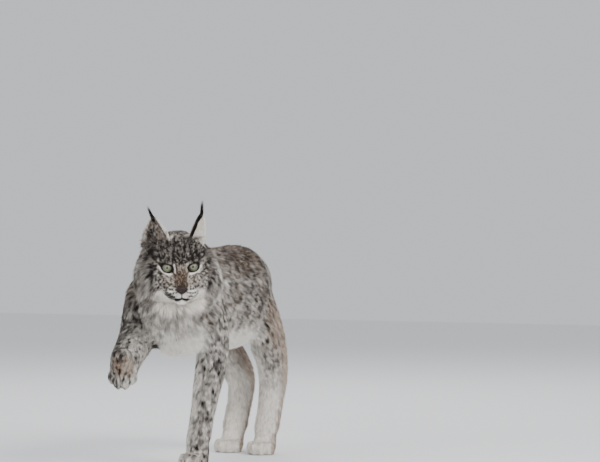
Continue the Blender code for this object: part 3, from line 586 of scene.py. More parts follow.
def survey(points, normals):  # where each point is on the animal, and how its hair lies
    scores, places, centres, tangents = zip(*(alongChain(name, points) for name in regions))
    scores, headAt, neckAt = np.array(scores), regions.index("head"), regions.index("neck")
    scores[neckAt] *= 1.06
    weight = np.exp(-(scores - scores.min(0)) * 9)
    h = inHead(points)
    weight[headAt] *= step(h[:, 0], -0.135, -0.095)
    weight /= weight.sum(0)
    side = np.sign(h[:, 1])

    flow = np.zeros_like(points)
    for i, name in enumerate(regions):
        if name in coat["lie"]:
            way = np.array(coat["lie"][name])
        elif name == "head":
            back = h - np.array(coat["partsFrom"])
            cheek = step(np.abs(h[:, 1]), 0.03, 0.062) * step(-h[:, 2], -0.01, 0.03)
            back[:, 2] -= 0.045 * cheek
            back[:, 1] += 0.02 * cheek * side
            way = unit(headVector(*back.T))
        else:
            way = unit(tangents[i] + np.array(coat["lie"]["limbs"]))
        flow += weight[i][:, None] * way

    line = smoothPath(ruff["line"], 4)
    nearest, which = np.full(len(points), 1e9), np.zeros(len(points), int)
    mirrored = np.stack([h[:, 0], np.abs(h[:, 1]), h[:, 2]], axis=1)
    for k, row in enumerate(line):
        d = np.linalg.norm(mirrored - row[:3], axis=1)
        which[d < nearest] = k
        nearest = np.minimum(nearest, d)
    lie = line[which]
    ruffy = np.exp(-(nearest / ruff["breadth"]) ** 2) * (weight[headAt] + weight[neckAt])
    down = unit(headVector(lie[:, 3], lie[:, 4] * side, lie[:, 5]))
    flow = unit(flow) * (1 - ruffy[:, None]) + ruffy[:, None] * down

    values = np.zeros((len(points), 4))  # length, lift, width, tufts per square centimetre
    for i, name in enumerate(regions):
        values += weight[i][:, None] * np.array(coat[name])

    def mixed(amount, name):
        nonlocal values
        values = values * (1 - amount[:, None]) + amount[:, None] * np.array(coat[name])

    mixed(step(h[:, 0], -0.02, 0.022) * step(weight[headAt], 0.3, 0.6), "muzzle")
    feet = step(points[:, 2], 0.085, 0.05) * (points[:, 1] > -0.3)
    rightPaw = step(np.linalg.norm(points - coat["rightPaw"], axis=1), 0.075, 0.05)
    mixed(np.maximum(feet, rightPaw), "paw")
    values[:, 0] += ruffy * lie[:, 6] * 0.9
    values[:, 1] += ruffy * 8
    values[:, 3] -= ruffy * 40
    ear = np.zeros(len(points))
    earSpot, earBase = np.zeros((len(points), 3)), np.zeros(len(points))
    for name in ("left", "right"):
        t, a, o, inside = onEar(points, name)
        along, opens, across = earWays[name][2:]
        front = step(normals @ opens, -0.1, 0.3)
        way = along + (a[:, None] * 14) * across + front[:, None] * 0.25 * opens
        flow = flow * (1 - inside[:, None]) + inside[:, None] * unit(way)
        ear = np.maximum(ear, inside)
        earSpot[inside > 0] = np.stack([t, a, front], axis=1)[inside > 0]
        near = (np.abs(a) < ears["halfWidth"] + 0.012) * (o < 0.014) * (o > -0.038)
        earBase = np.maximum(earBase, near * step(t, -0.3, -0.05) * step(t, 0.34, 0.12))
    mixed(ear, "ear")
    values[:, 0] += ear * earSpot[:, 2] * 0.004
    values[:, 0] *= 1 - 0.4 * earBase
    values[:, 1] *= 1 - 0.55 * earBase

    bare = np.zeros(len(points))  # the rims of the eyes, the nose leather and the soles
    for name in eyePlaces:
        bare = np.maximum(bare, (eyeRing(h, name) < 1.1) * (h[:, 0] > -0.004))
    bare = np.maximum(bare, noseDistance(h) < 1)
    bare = np.maximum(bare, points[:, 2] < 0.003)
    values[:, 3] *= 1 - bare

    flow = flow - normals * np.sum(flow * normals, axis=1, keepdims=True)
    flow = unit(flow)
    owner = weight.argmax(0)
    chosen = np.arange(len(points))
    out = points - np.array(centres)[owner, chosen]
    tangent = np.array(tangents)[owner, chosen]
    sideways = unit(np.array((1.0, 0, 0)) - tangent * tangent[:, :1])
    turnCos = np.sum(out * sideways, axis=1)
    turnSin = np.sum(out * np.cross(tangent, sideways), axis=1)
    place = np.array(places)[owner, chosen]
    return {"weight": weight.T, "head": h, "flow": flow, "values": values, "ear": ear, "earSpot": earSpot,
            "turn": np.stack([turnCos, turnSin], axis=1), "place": place, "point": points, "normal": normals}


def eyeRing(h, side):  # 1 on the rim of the opening, more outside it
    half, rise, fall = head["opening"]
    x = h[:, 1] - head["eyeSpacing"] / 2 * (1 if side == "left" else -1)
    outward = np.clip(np.abs(h[:, 1]) / half - head["eyeSpacing"] / 2 / half, -1.2, 1.2)
    z = h[:, 2] - head["openingUp"] - head["slant"] * outward
    return np.hypot(x / half, z / np.where(z > 0, rise, fall))


def noseDistance(h):  # 1 on the rim of the nose's leather, more outside it
    middle, reach = (np.array(v) for v in head["nose"])
    return np.linalg.norm((h - middle) / reach, axis=1)


def treeOf(places):
    tree = KDTree(len(places))
    for k, place in enumerate(places):
        tree.insert(place, k)
    tree.balance()
    return tree


def lineDistance(h, line):  # in the face's own plane, both sides alike
    p = np.stack([np.abs(h[:, 1]), h[:, 2]], axis=1)
    found = np.full(len(p), 1e9)
    for a, b in zip(line[:-1], line[1:]):
        a, b = np.array(a), np.array(b)
        f = np.clip((p - a) @ (b - a) / ((b - a) @ (b - a)), 0, 1)
        found = np.minimum(found, np.linalg.norm(p - a - f[:, None] * (b - a), axis=1))
    return found


marks = {
    "spotSpacing": {"torso": 0.019, "neck": 0.0185, "foreLeft": 0.015, "foreRight": 0.014, "hindLeft": 0.0165,
                    "hindRight": 0.0165, "tail": 0.016, "head": 0.014},
    "spotHalfLength": (0.005, 0.01), "spotHalfWidth": (0.0028, 0.0046), "spotStrength": (0.5, 1.0),
    "spotWander": 0.003, "spotTries": 30000, "spotCell": 0.016, "faceStarts": -0.07, "seed": 9,
    "pale": {"ground": 0.14, "belly": 0.84, "chest": 0.9, "legs": 0.26, "insideLegs": 0.45, "back": -0.12,
             "lowFlank": 0.28, "streaks": 0.24, "betweenBlotches": 0.38, "onBack": -0.18, "litNeckStreaks": 0.78,
             "hindFeet": 0.62, "thigh": -0.36, "stripe": 0.38, "hindMost": 0.92, "throat": 0.97, "rust": -0.6},
    "tan": {"ground": 0.16, "back": 0.1, "blotches": 0.18, "thigh": 0.34, "hindFeet": 0.5, "stripe": 0.9,
            "rust": 0.92},
    "dark": {"trunkBlotches": 0.74, "legBlotches": 0.6, "ground": 0.12, "back": 0.21, "flank": 0.08,
             "shadeOnRightShoulder": 0.14, "chestDashes": 0.8, "rightForeleg": 0.8, "leftForeleg": 0.85, "rightPaw": 0.15},
    "stripeFaces": (0.84, 0.54, 0), "rustAt": (-0.048, -0.448, 0.276),
}

faceMarks = {  # strokes by half width and darkness, through points to the side and up, and zones by ramps of 0 to 1
    "strokes": {
        "tearLine": (0.0016, 0.85, ((0.019, -0.004), (0.0155, -0.011), (0.0135, -0.018))),
        "noseLine": (0.0022, 0.8, ((0.015, -0.029), (0.014, -0.035))),
        "outerLine": (0.0022, 0.85, ((0.0455, -0.001), (0.06, 0.0005), (0.078, -0.002))),
        "browLine": (0.0016, 0.6, ((0.03, 0.016), (0.042, 0.013), (0.05, 0.006)))},
    "innerStreak": ((0.015, 0.0085), (0.0138, 0.002), (0.0136, -0.007)),
    "cheekLines": (
        ((0.033, -0.025), (0.048, -0.03), (0.064, -0.03)),
        ((0.034, -0.036), (0.05, -0.042), (0.068, -0.044)),
        ((0.036, -0.047), (0.052, -0.054), (0.066, -0.06))),
    "strokeHalf": 0.0016, "strokeSoftness": 0.0012,
    "zones": {
        "face": (("headShare", 0.35, 0.65),),
        "front": (("out", -0.055, -0.03),),
        "brow": (("up", 0.004, 0.018),),
        "crown": (("out", -0.04, -0.07),),
        "cheek": (("side", 0.026, 0.045), ("up", 0.0, -0.015)),
        "temple": (("side", 0.052, 0.07), ("up", -0.085, -0.03)),
        "bridge": (("up", -0.04, -0.032), ("up", 0.014, -0.01), ("out", 0.0, 0.012)),
        "besideNose": (("side", 0.012, 0.018), ("side", 0.036, 0.026), ("up", -0.046, -0.034), ("up", -0.008, -0.018),
                       ("out", 0.0, 0.01)),
        "eyes": (("out", -0.02, -0.008),),
        "whiskerRows": (("side", 0.01, 0.014), ("side", 0.052, 0.042), ("out", -0.002, 0.012)),
        "lipGroove": (("side", 0.0022, 0.0008), ("up", -0.066, -0.063), ("up", -0.048, -0.051), ("out", 0.03, 0.04)),
        "lipBandWithShade": (("side", 0.004, 0.01), ("side", 0.044, 0.038), ("out", -0.004, 0.006))},
    "ground": {"pale": 0.25, "tan": 0.25, "dark": 0.27},
    "speckle": {"pale": 0.5, "paleOnBrow": -0.08, "dark": 0.62},
    "brow": {"dark": 0.36, "bars": 0.18, "spacing": 0.0145},
    "cheek": {"pale": 0.05, "shadeOnRightCheek": 0.12}, "temple": {"dark": 0.16, "streaks": 0.42},
    "bridge": {"halfWidth": 0.02, "tan": 0.52, "dark": 0.46, "speckle": 0.42},
    "eyeRings": {"lash": (1.24, 1.14), "inside": (1.16, 1.24), "crescent": (1.62, 1.44), "upper": (1.48, 1.3)},
    "rows": {"count": 3, "first": -0.0432, "spacing": 0.0056, "dash": 0.0066, "thickness": (0.0029, 0.0015)},
    "lips": (0.0054, 0.0028), "noseRim": (1.2, 1.05),
    "earFoot": (-0.088, 0.07, 0.026),
}


def spotSeeds(info):  # dark spots set apart over the body, each drawn out along the lie of the coat
    draw = np.random.default_rng(marks["seed"])
    points, owner = info["point"], info["weight"].argmax(1)
    order = draw.permutation(len(points))[:marks["spotTries"]]
    around = [(a, b, c) for a in (-1, 0, 1) for b in (-1, 0, 1) for c in (-1, 0, 1)]
    cells, kept = {}, []
    for i in order:
        name = regions[owner[i]]
        if name == "head" and info["head"][i, 0] > marks["faceStarts"]:
            continue
        apart = marks["spotSpacing"][name] * (0.75 + 0.5 * draw.random())
        p = points[i]
        key = tuple((p // marks["spotCell"]).astype(int))
        near = [j for a, b, c in around for j in cells.get((key[0] + a, key[1] + b, key[2] + c), ())]
        if all(np.sum((points[j] - p) ** 2) > apart**2 for j in near):
            cells.setdefault(key, []).append(i)
            kept.append(i)
    kept = np.array(kept)
    sizes = [draw.uniform(*marks[name], len(kept)) for name in ("spotHalfLength", "spotHalfWidth", "spotStrength")]
    return treeOf(points[kept]), points[kept], info["flow"][kept], *sizes


def spots(points, seeds):
    tree, places, ways, long, wide, strength = seeds
    wander = np.stack([noise(points, 0.0065, 20 + k) for k in range(3)], axis=1)
    points = points + marks["spotWander"] * wander
    found = np.array([[hit[1] for hit in tree.find_n(p, 3)] for p in points])
    dark = np.zeros(len(points))
    for i in found.T:
        off = points - places[i]
        a = np.sum(off * ways[i], axis=1)
        rest = np.linalg.norm(off - a[:, None] * ways[i], axis=1)
        dark = np.maximum(dark, strength[i] * step(np.hypot(a / long[i], rest / wide[i]), 1.35, 0.55))
    return dark


def bodyMarking(info, of, mid, fine, speckle, seeds):
    points, normals, h = info["point"], info["normal"], info["head"]
    x, y, z = points.T
    paleBy, tanBy, darkBy = marks["pale"], marks["tan"], marks["dark"]
    hind, trunk = of["hindLeft"] + of["hindRight"], of["torso"] + of["neck"]
    legs = of["foreLeft"] + of["foreRight"] + hind
    hindFoot, thigh = hind * step(z, 0.26, 0.14), hind * step(z, 0.24, 0.36) * step(z, 0.46, 0.4)
    inner = np.where(x > 0, -normals[:, 0], normals[:, 0])
    under, top = step(-normals[:, 2], 0.15, 0.85), trunk * step(normals[:, 2], 0.1, 0.8)
    chest = step(-normals[:, 1] * 0.85 - normals[:, 2] * 0.55, 0.3, 0.85)
    chest = chest * np.exp(-((x - 0.018) / 0.05) ** 2) * (0.45 + 0.55 * step(z, 0.4, 0.365))
    broad = noise(points, 0.06, 1)
    blotch = 0.85 * noise(points * (1, 0.8, 1), 0.0095, 4) + 0.7 * noise(points, 0.0048, 9) + 0.35 * fine
    # pale streaks down the left side of the neck: partly the coat's own pale hairs, partly painted light, as only the
    # lit left side has them
    litNeckStreaks = of["neck"] * step(h[:, 1], 0.07, 0.095) * step(noise(points * (1, 1, 0.35), 0.011, 16), -0.4, 0.3)
    stripe = step(normals @ np.array(marks["stripeFaces"]) + 0.14 * mid + 0.16 * speckle, 0.22, 0.88)
    stripe = stripe * hind * step(z, 0.46, 0.36)

    pale = paleBy["ground"] + 0.1 * broad + trunk * np.maximum(paleBy["belly"] * under, paleBy["chest"] * chest)
    pale += legs * (paleBy["legs"] + paleBy["insideLegs"] * step(inner, -0.1, 0.6)) + paleBy["back"] * top
    pale += paleBy["lowFlank"] * trunk * step(z + 0.02 * broad, 0.39, 0.31)
    streaks = of["torso"] * step(noise(points * (1, 2.2, 0.6), 0.026, 5), 0.0, 0.6) * step(z, 0.54, 0.46)
    pale += paleBy["streaks"] * streaks
    pale += (paleBy["betweenBlotches"] + paleBy["onBack"] * top) * step(-blotch, 0.1, 0.65)
    pale += paleBy["litNeckStreaks"] * litNeckStreaks + paleBy["hindFeet"] * hindFoot + paleBy["thigh"] * thigh
    tan = tanBy["ground"] + tanBy["back"] * top + 0.2 * broad + tanBy["thigh"] * thigh
    tan += tanBy["blotches"] * of["torso"] * step(blotch, 0.1, 0.6) + tanBy["hindFeet"] * hindFoot
    tan = np.maximum(tan - 0.3 * pale, tanBy["stripe"] * stripe)
    pale = pale * (1 - stripe) + paleBy["stripe"] * stripe
    pale = np.where(hind > 0.5, np.minimum(pale, paleBy["hindMost"]), pale)

    dark = (darkBy["trunkBlotches"] * trunk + darkBy["legBlotches"] * legs) * step(blotch, 0.16, 0.58)
    dark = np.maximum(dark, spots(points, seeds)) * (1 - np.maximum(under, 0.5 * chest) * trunk)
    dark *= (1 - 0.55 * hind * step(z, 0.3, 0.18)) * (1 - 0.45 * legs * step(inner, 0.0, 0.7)) * (1 - 0.35 * stripe)
    dark += darkBy["ground"] + darkBy["back"] * top + darkBy["flank"] * of["torso"] * (1 - under)
    # painted shade: the right shoulder and neck are darkened, on the side away from the key light
    dark += darkBy["shadeOnRightShoulder"] * (of["neck"] + of["foreRight"]) * step(x, 0.0, -0.05) * step(z, 0.32, 0.38)
    dark *= (1 - 0.6 * litNeckStreaks) * (1 - 0.75 * hindFoot)
    dashes = step(noise(points * (0.55, 1, 1.7), 0.0115, 17), 0.12, 0.42) * chest * trunk * step(z, 0.3, 0.34)
    rightBars = of["foreRight"] * step(noise(points * (1, 1, 2.0), 0.016, 6), 0.2, 0.55) * step(z, 0.26, 0.3)
    leftBars = of["foreLeft"] * step(noise(points * (1, 1, 1.6), 0.014, 15), 0.25, 0.55) * step(z, 0.2, 0.26)
    for amount, shape in ((darkBy["chestDashes"], dashes), (1.0, of["tail"] * step(info["place"], 0.6, 0.68)),
                          (darkBy["rightForeleg"], rightBars), (darkBy["leftForeleg"], leftBars)):
        dark = np.maximum(dark, amount * shape)

    down = -h[:, 2] + 0.006 * mid
    throat = step(down, 0.055, 0.07) * step(np.abs(h[:, 1]) + 0.008 * mid, 0.066, 0.046)
    throat *= step(down + 0.002 * mid, 0.128, 0.104) * (of["neck"] + of["head"]) * step(h[:, 0], -0.11, -0.07)
    dark, tan, pale = dark * (1 - 0.9 * throat), tan * (1 - 0.9 * throat), np.maximum(pale, paleBy["throat"] * throat)
    rust = of["foreRight"] * step(np.linalg.norm(points - marks["rustAt"], axis=1), 0.042, 0.018)
    dark += darkBy["rightPaw"] * of["foreRight"] * step(-y, 0.36, 0.42)
    return dark, pale * (1 + paleBy["rust"] * rust), np.maximum(tan, tanBy["rust"] * rust)


def faceMarking(points, h, at, zone, mid, speckle):
    left, a, up = h[:, 1], at["side"], at["up"]
    by = faceMarks
    face, brow = zone("face"), zone("brow")
    bars = np.cos(2 * math.pi * (a + 0.0042 * noise(points, 0.012, 13)) / by["brow"]["spacing"] + 1.2 * mid + up * 20)
    dark = by["ground"]["dark"] + by["speckle"]["dark"] * step(-speckle, -0.12, 0.42)
    dark += brow * (by["brow"]["dark"] + by["brow"]["bars"] * step(bars, 0.0, 0.8))
    pale = (by["speckle"]["pale"] + by["speckle"]["paleOnBrow"] * brow) * step(speckle, 0.1, 0.6)
    pale += by["ground"]["pale"]
    crown, cheek = zone("crown") * brow, zone("cheek")
    # painted shade: the right cheek is darkened, on the side away from the key light
    dark = dark * (1 - 0.35 * crown) + 0.12 * crown + by["cheek"]["shadeOnRightCheek"] * cheek * (left < 0)
    pale += by["cheek"]["pale"] * cheek
    low = step(-up + 0.003 * speckle, 0.034, 0.043) * step(a, 0.078, 0.058)
    low *= step(a + 0.005 * speckle - 1.2 * (-up - 0.04), 0.04, 0.028)
    pale = np.maximum(pale, 0.95 * low)
    streaks = step(noise(points * (1, 1, 0.5), 0.01, 7), -0.05, 0.4)
    dark = dark * (1 - 0.85 * low) + zone("temple") * (by["temple"]["dark"] + by["temple"]["streaks"] * streaks)
    reach = by["bridge"]["halfWidth"] + 0.003 * noise(points, 0.01, 14)
    bridge = step(a, reach, reach - 0.01) * zone("bridge")
    tan = by["ground"]["tan"] * (1 - bridge) + by["bridge"]["tan"] * bridge + 0.22 * zone("besideNose")
    pale *= 1 - 0.7 * bridge
    dark = dark * (1 - bridge) + (by["bridge"]["dark"] + by["bridge"]["speckle"] * step(-speckle, -0.2, 0.4)) * bridge

    def stroke(line, half, softness=by["strokeSoftness"]):
        return step(lineDistance(h, line), half + softness, half - softness) * zone("front") * face

    rings = by["eyeRings"]
    ring, ahead = np.minimum(eyeRing(h, "left"), eyeRing(h, "right")), zone("eyes") * face
    below = step(head["openingUp"] - up, -0.001, 0.003)
    crescent = step(ring, *rings["inside"]) * step(ring, *rings["crescent"]) * below * ahead * step(a, 0.018, 0.023)
    upper = step(ring, *rings["inside"]) * step(ring, *rings["upper"]) * (1 - below) * ahead * step(a, 0.026, 0.036)
    white = np.maximum(crescent, stroke(by["innerStreak"], by["strokeHalf"]) * (0.35 + 0.35 * (left < 0)))
    pale, dark = np.maximum(pale, white), np.maximum(dark * (1 - white), 0.7 * upper)
    for half, amount, line in by["strokes"].values():
        dark = np.maximum(dark, amount * stroke(line, half) * (1 - crescent))
    broken = step(noise(points, 0.0065, 8), -0.35, 0.1) * step(-speckle, -0.3, 0.15)
    for line in by["cheekLines"]:
        dark = np.maximum(dark, 0.72 * stroke(line, 0.002, 0.0008) * broken)
    rows = by["rows"]
    for row in range(rows["count"]):  # dashes that the whiskers grow from
        z = rows["first"] - rows["spacing"] * row - 0.05 * (a - 0.012) * (row - 1) + 0.0015 * np.sin(a * 90 + row)
        dashes = step(np.sin(2 * math.pi * a / rows["dash"] + 1.9 * row), -0.95, -0.35)
        dark = np.maximum(dark, step(np.abs(up - z), *rows["thickness"]) * dashes * zone("whiskerRows") * face)
    dark = np.maximum(dark, 0.9 * zone("lipGroove") * face)
    # the black lip line, drawn wide so that it also carries painted fur shadow along the mouth
    lips = np.full(len(points), 1e9)
    for p in mouth:
        lips = np.minimum(lips, np.linalg.norm(points - np.array(p), axis=1))
    aboveLips = up + 0.064 + 0.005 * np.sin(math.pi * np.minimum(1, a / 0.035)) - 0.005 * (a / 0.04) ** 3
    bandTop = 0.0075 + 0.0115 * step(a, 0.008, 0.022)
    lipShadeBand = step(aboveLips, -0.001, 0.001) * step(aboveLips, bandTop, bandTop - 0.004) * zone("lipBandWithShade") * face
    lipShadeBand *= np.where(left < 0, 0.95, 0.8 * step(-speckle, -0.05, 0.25))  # dark fur above the lips with painted shade from the fur over them: whole on the shaded right side, broken on the left
    lash, noseRim = step(ring, *rings["lash"]) * ahead, step(noseDistance(h), *by["noseRim"])
    for shape in (step(lips, *by["lips"]), lipShadeBand, lash, noseRim):
        dark = np.maximum(dark, shape)
    return dark, pale, tan


def earMarking(info, fine):  # pale within, black at the rim, at the back's edges and towards the tip; painted shade darkens inside the right ear and painted light brightens inside the left
    t, across, inside = info["earSpot"].T
    left = info["head"][:, 1] > 0
    edge = across / (earHalf(t, 0.02) + 0.0018) * np.where(left, -1, 1)  # towards the middle of the head above 0
    rim, pocket = step(np.abs(edge), 0.78, 0.97), step(edge, 0.1, -0.4) * step(t, 0.62, 0.28)
    outer = step(-edge, 0.6, 0.9)
    # inside the left ear the darkness is cut and paleness added, while the right ear stays dark inside: painted light
    # on the lit left ear, painted shade on the right
    within = (0.42 + 0.32 * step(fine, -0.2, 0.5) + 0.34 * pocket) * np.where(left, 0.08, 1.0) * (1 - 0.5 * outer)
    within, behind = np.maximum(within, step(t, 0.9, 0.97)), np.maximum(0.95 * rim, step(t, 0.55, 0.75))
    dark = np.maximum(np.where(inside > 0.5, within, behind), left * inside * step(edge, 0.5, 0.64))
    pale = np.where(inside > 0.5, 0.22 + 0.5 * step(-fine, 0.1, 0.6) + 0.35 * outer + 0.6 * left, 0.45 * (1 - rim))
    seam = ~left * inside * step(edge, 0.76, 0.9) * step(t, 0.92, 0.84)  # the thin pale edge of the right ear
    return dark * (1 - 0.9 * seam), np.maximum(pale, 0.85 * seam), np.full(len(t), 0.55)


def markings(info, seeds):  # how dark, how pale and how tan the coat is at each point
    points, h = info["point"], info["head"]
    of = {name: info["weight"][:, i] for i, name in enumerate(regions)}
    at = {"out": h[:, 0], "side": np.abs(h[:, 1]), "up": h[:, 2], "headShare": of["head"]}
    mid, fine = noise(points, 0.018, 2), noise(points, 0.0024, 3)
    speckle = 0.58 * noise(points, 0.004, 12) + 0.7 * fine

    def zone(name):
        return math.prod(step(at[axis], first, second) for axis, first, second in faceMarks["zones"][name])

    found = np.stack(bodyMarking(info, of, mid, fine, speckle, seeds), axis=1)
    face = zone("face")[:, None]
    found = found * (1 - face) + np.stack(faceMarking(points, h, at, zone, mid, speckle), axis=1) * face
    foot = step(np.linalg.norm(h - faceMarks["earFoot"], axis=1), 0.028, 0.014)  # the left ear's pale foot
    found[:, 0], found[:, 1] = found[:, 0] * (1 - 0.8 * foot), np.maximum(found[:, 1], 0.65 * foot)
    ear = info["ear"][:, None]
    found = found * (1 - ear) + np.stack(earMarking(info, fine), axis=1) * ear
    return np.clip(found, 0, 1)


# Shader sums: each value carries its node tree, and the usual signs add the nodes

class Wire:
    def __init__(self, tree, socket=None):
        self.tree, self.socket = tree, socket

    def node(self, kind, settings=None, inputs=None, out=0):
        made = self.tree.nodes.new("ShaderNode" + kind)
        for name, value in (settings or {}).items():
            setattr(made, name, value)
        for name, value in (inputs or {}).items():
            if isinstance(value, Wire):
                self.tree.links.new(value.socket, made.inputs[name])
            else:
                made.inputs[name].default_value = value
        return Wire(self.tree, made.outputs[out])

    def sum(self, operation, first, second):
        return self.node("Math", {"operation": operation}, {0: first, 1: second})

    def __add__(self, other):
        return self.sum("ADD", self, other)

    def __rsub__(self, other):
        return self.sum("SUBTRACT", other, self)

    def __mul__(self, other):
        return self.sum("MULTIPLY", self, other)

    def __gt__(self, other):
        return self.sum("GREATER_THAN", self, other)

    __radd__, __rmul__ = __add__, __mul__

    def between(self, low, high):  # 0 at low, 1 at high, smooth between
        return self.node("MapRange", {"interpolation_type": "SMOOTHSTEP"}, {0: self, 1: low, 2: high})

    def over(self, under, over):  # the colour over shows where this value is 1
        return self.node("Mix", {"data_type": "RGBA"}, {0: self, 6: under, 7: over}, 2)

    def shaded(self, amount):
        return self.node("VectorMath", {"operation": "SCALE"}, {0: self, "Scale": amount})

    def part(self, axis):
        return self.node("SeparateXYZ", None, {0: self}, axis)

    def painted(self, name):
        return self.node("Attribute", {"attribute_name": name}, None, "Vector")

    def grain(self, scale, detail=2.0, at=None):
        where = at or self.node("TexCoord", None, None, "Object")
        return self.node("TexNoise", None, {"Vector": where, "Scale": scale, "Detail": detail})

    def bump(self, height, strength, distance):
        return self.node("Bump", None, {"Height": height, "Strength": strength, "Distance": distance})


def finish(name, build):
    made = bpy.data.materials.new(name)
    made.use_nodes = True
    tree = made.node_tree
    tree.nodes.clear()
    shader = Wire(tree).node("BsdfPrincipled", None, build(Wire(tree)))
    tree.links.new(shader.socket, tree.nodes.new("ShaderNodeOutputMaterial").inputs["Surface"])
    return made


def tone(red, green, blue):  # a colour as a screen shows it, 0 to 255
    found = [c / 255 / 12.92 if c < 10 else ((c / 255 + 0.055) / 1.055) ** 2.4 for c in (red, green, blue)]
    return (*found, 1.0)


hairColours = {
    "ground": tone(83, 70, 60), "pale": tone(246, 240, 231), "warm": tone(156, 112, 70), "dark": tone(18, 13, 10),
    "roughness": 0.78,
}


def hairColour(start):
    share = start.painted("marks")
    dark, pale, warm = (share.part(k) for k in range(3))
    colour = warm.over(hairColours["ground"], hairColours["warm"])
    colour = pale.over(colour, hairColours["pale"])
    return dark.over(colour, hairColours["dark"]), pale


def furNodes(start):
    colour, pale = hairColour(start)
    strand = start.painted("strand")
    along, chance = strand.part(0), strand.part(1)
    tipped = along.between(0.62, 1.0) * (chance > 0.58) * (1 - pale * 0.75) * 0.55  # some hairs end dark
    colour = tipped.over(colour, hairColours["dark"])
    # each hair darkens towards its root: partly the hair's own darker base, partly painted shade deep in the coat
    return {"Base Color": colour.shaded(0.58 + along.between(0.0, 0.6) * 0.38 + chance * 0.34),
            "Roughness": hairColours["roughness"], "Specular IOR Level": 0.25}


def skinNodes(start):
    colour, _ = hairColour(start)
    strands = start.grain(900, 3)
    return {"Base Color": colour.shaded(0.62 + strands * 0.3), "Roughness": 0.85, "Specular IOR Level": 0.2,
            "Normal": start.bump(strands, 0.5, 0.0006)}


furFinish = finish("fur", furNodes)
skinFinish = finish("underfur", skinNodes)

points, normals, corners = arrays(skin)
atVertex = survey(points, normals)
report("survey of the skin")
seeds = spotSeeds(atVertex)
skinMarks = markings(atVertex, seeds)
report("markings, %d spots" % len(seeds[1]))


def setVector(mesh, name, values):
    attribute = mesh.attributes.new(name, "FLOAT_VECTOR", "POINT")
    attribute.data.foreach_set("vector", np.ascontiguousarray(values, np.float32).ravel())


setVector(skin.data, "marks", skinMarks)
skin.data.materials.clear()
skin.data.materials.append(skinFinish)
shadeSmooth(skin.data)


# Fur: roots spread over the skin, then tapered tufts that bend down along it

def spreadRoots():
    draw = np.random.default_rng(coat["seed"])
    a, b, c = (points[corners[:, k]] for k in range(3))
    area = np.linalg.norm(np.cross(b - a, c - a), axis=1) / 2
    density = atVertex["values"][corners, 3].mean(1) * 1e4 * coatShare
    run = np.cumsum(area * density)
    triangle = np.searchsorted(run, np.arange(int(run[-1])) + draw.random(int(run[-1])))
    triangle = np.minimum(triangle, len(area) - 1)
    u, v = draw.random((2, len(triangle)))
    flip = u + v > 1
    u[flip], v[flip] = 1 - u[flip], 1 - v[flip]
    share = np.stack([1 - u - v, u, v], axis=1)[:, :, None]

    def carried(values):
        if values.ndim == 1:
            return carried(values[:, None])[:, 0]
        return np.sum(values[corners[triangle]] * share, axis=1)

    found = {name: carried(values) for name, values in atVertex.items()}
    found["normal"], found["flow"] = unit(found["normal"]), unit(found["flow"])
    found["earSpot"][:, 2] = np.round(found["earSpot"][:, 2])
    found["head"] = inHead(found["point"])
    return found, draw


roots, draw = spreadRoots()
rootMarks = markings(roots, seeds)
report("%d roots" % len(rootMarks))


def nearestLeaders(points):  # tufts gather in locks, each round one leader
    chosen = draw.permutation(len(points))[:max(1, len(points) // coat["tuftsToALock"])]
    tree = treeOf(points[chosen])
    return chosen[np.array([tree.find(p)[1] for p in points])]


leaders = nearestLeaders(roots["point"])
shade, more = coat["lockShade"]  # more on the head
lockShade = draw.normal(0, 1, len(rootMarks))[leaders] * (shade + more * roots["weight"][:, regions.index("head")])
shared = coat["lockShare"] * step(roots["values"][:, :1], 0.004, 0.012)  # short hair keeps its own colour
rootMarks = rootMarks * (1 - shared) + rootMarks[leaders] * shared
rootMarks[:, 0] += np.maximum(lockShade, 0) * (1 - 0.6 * rootMarks[:, 1])
rootMarks[:, 1] += np.maximum(-lockShade, 0) * (1 - 0.6 * rootMarks[:, 0])
report("locks")


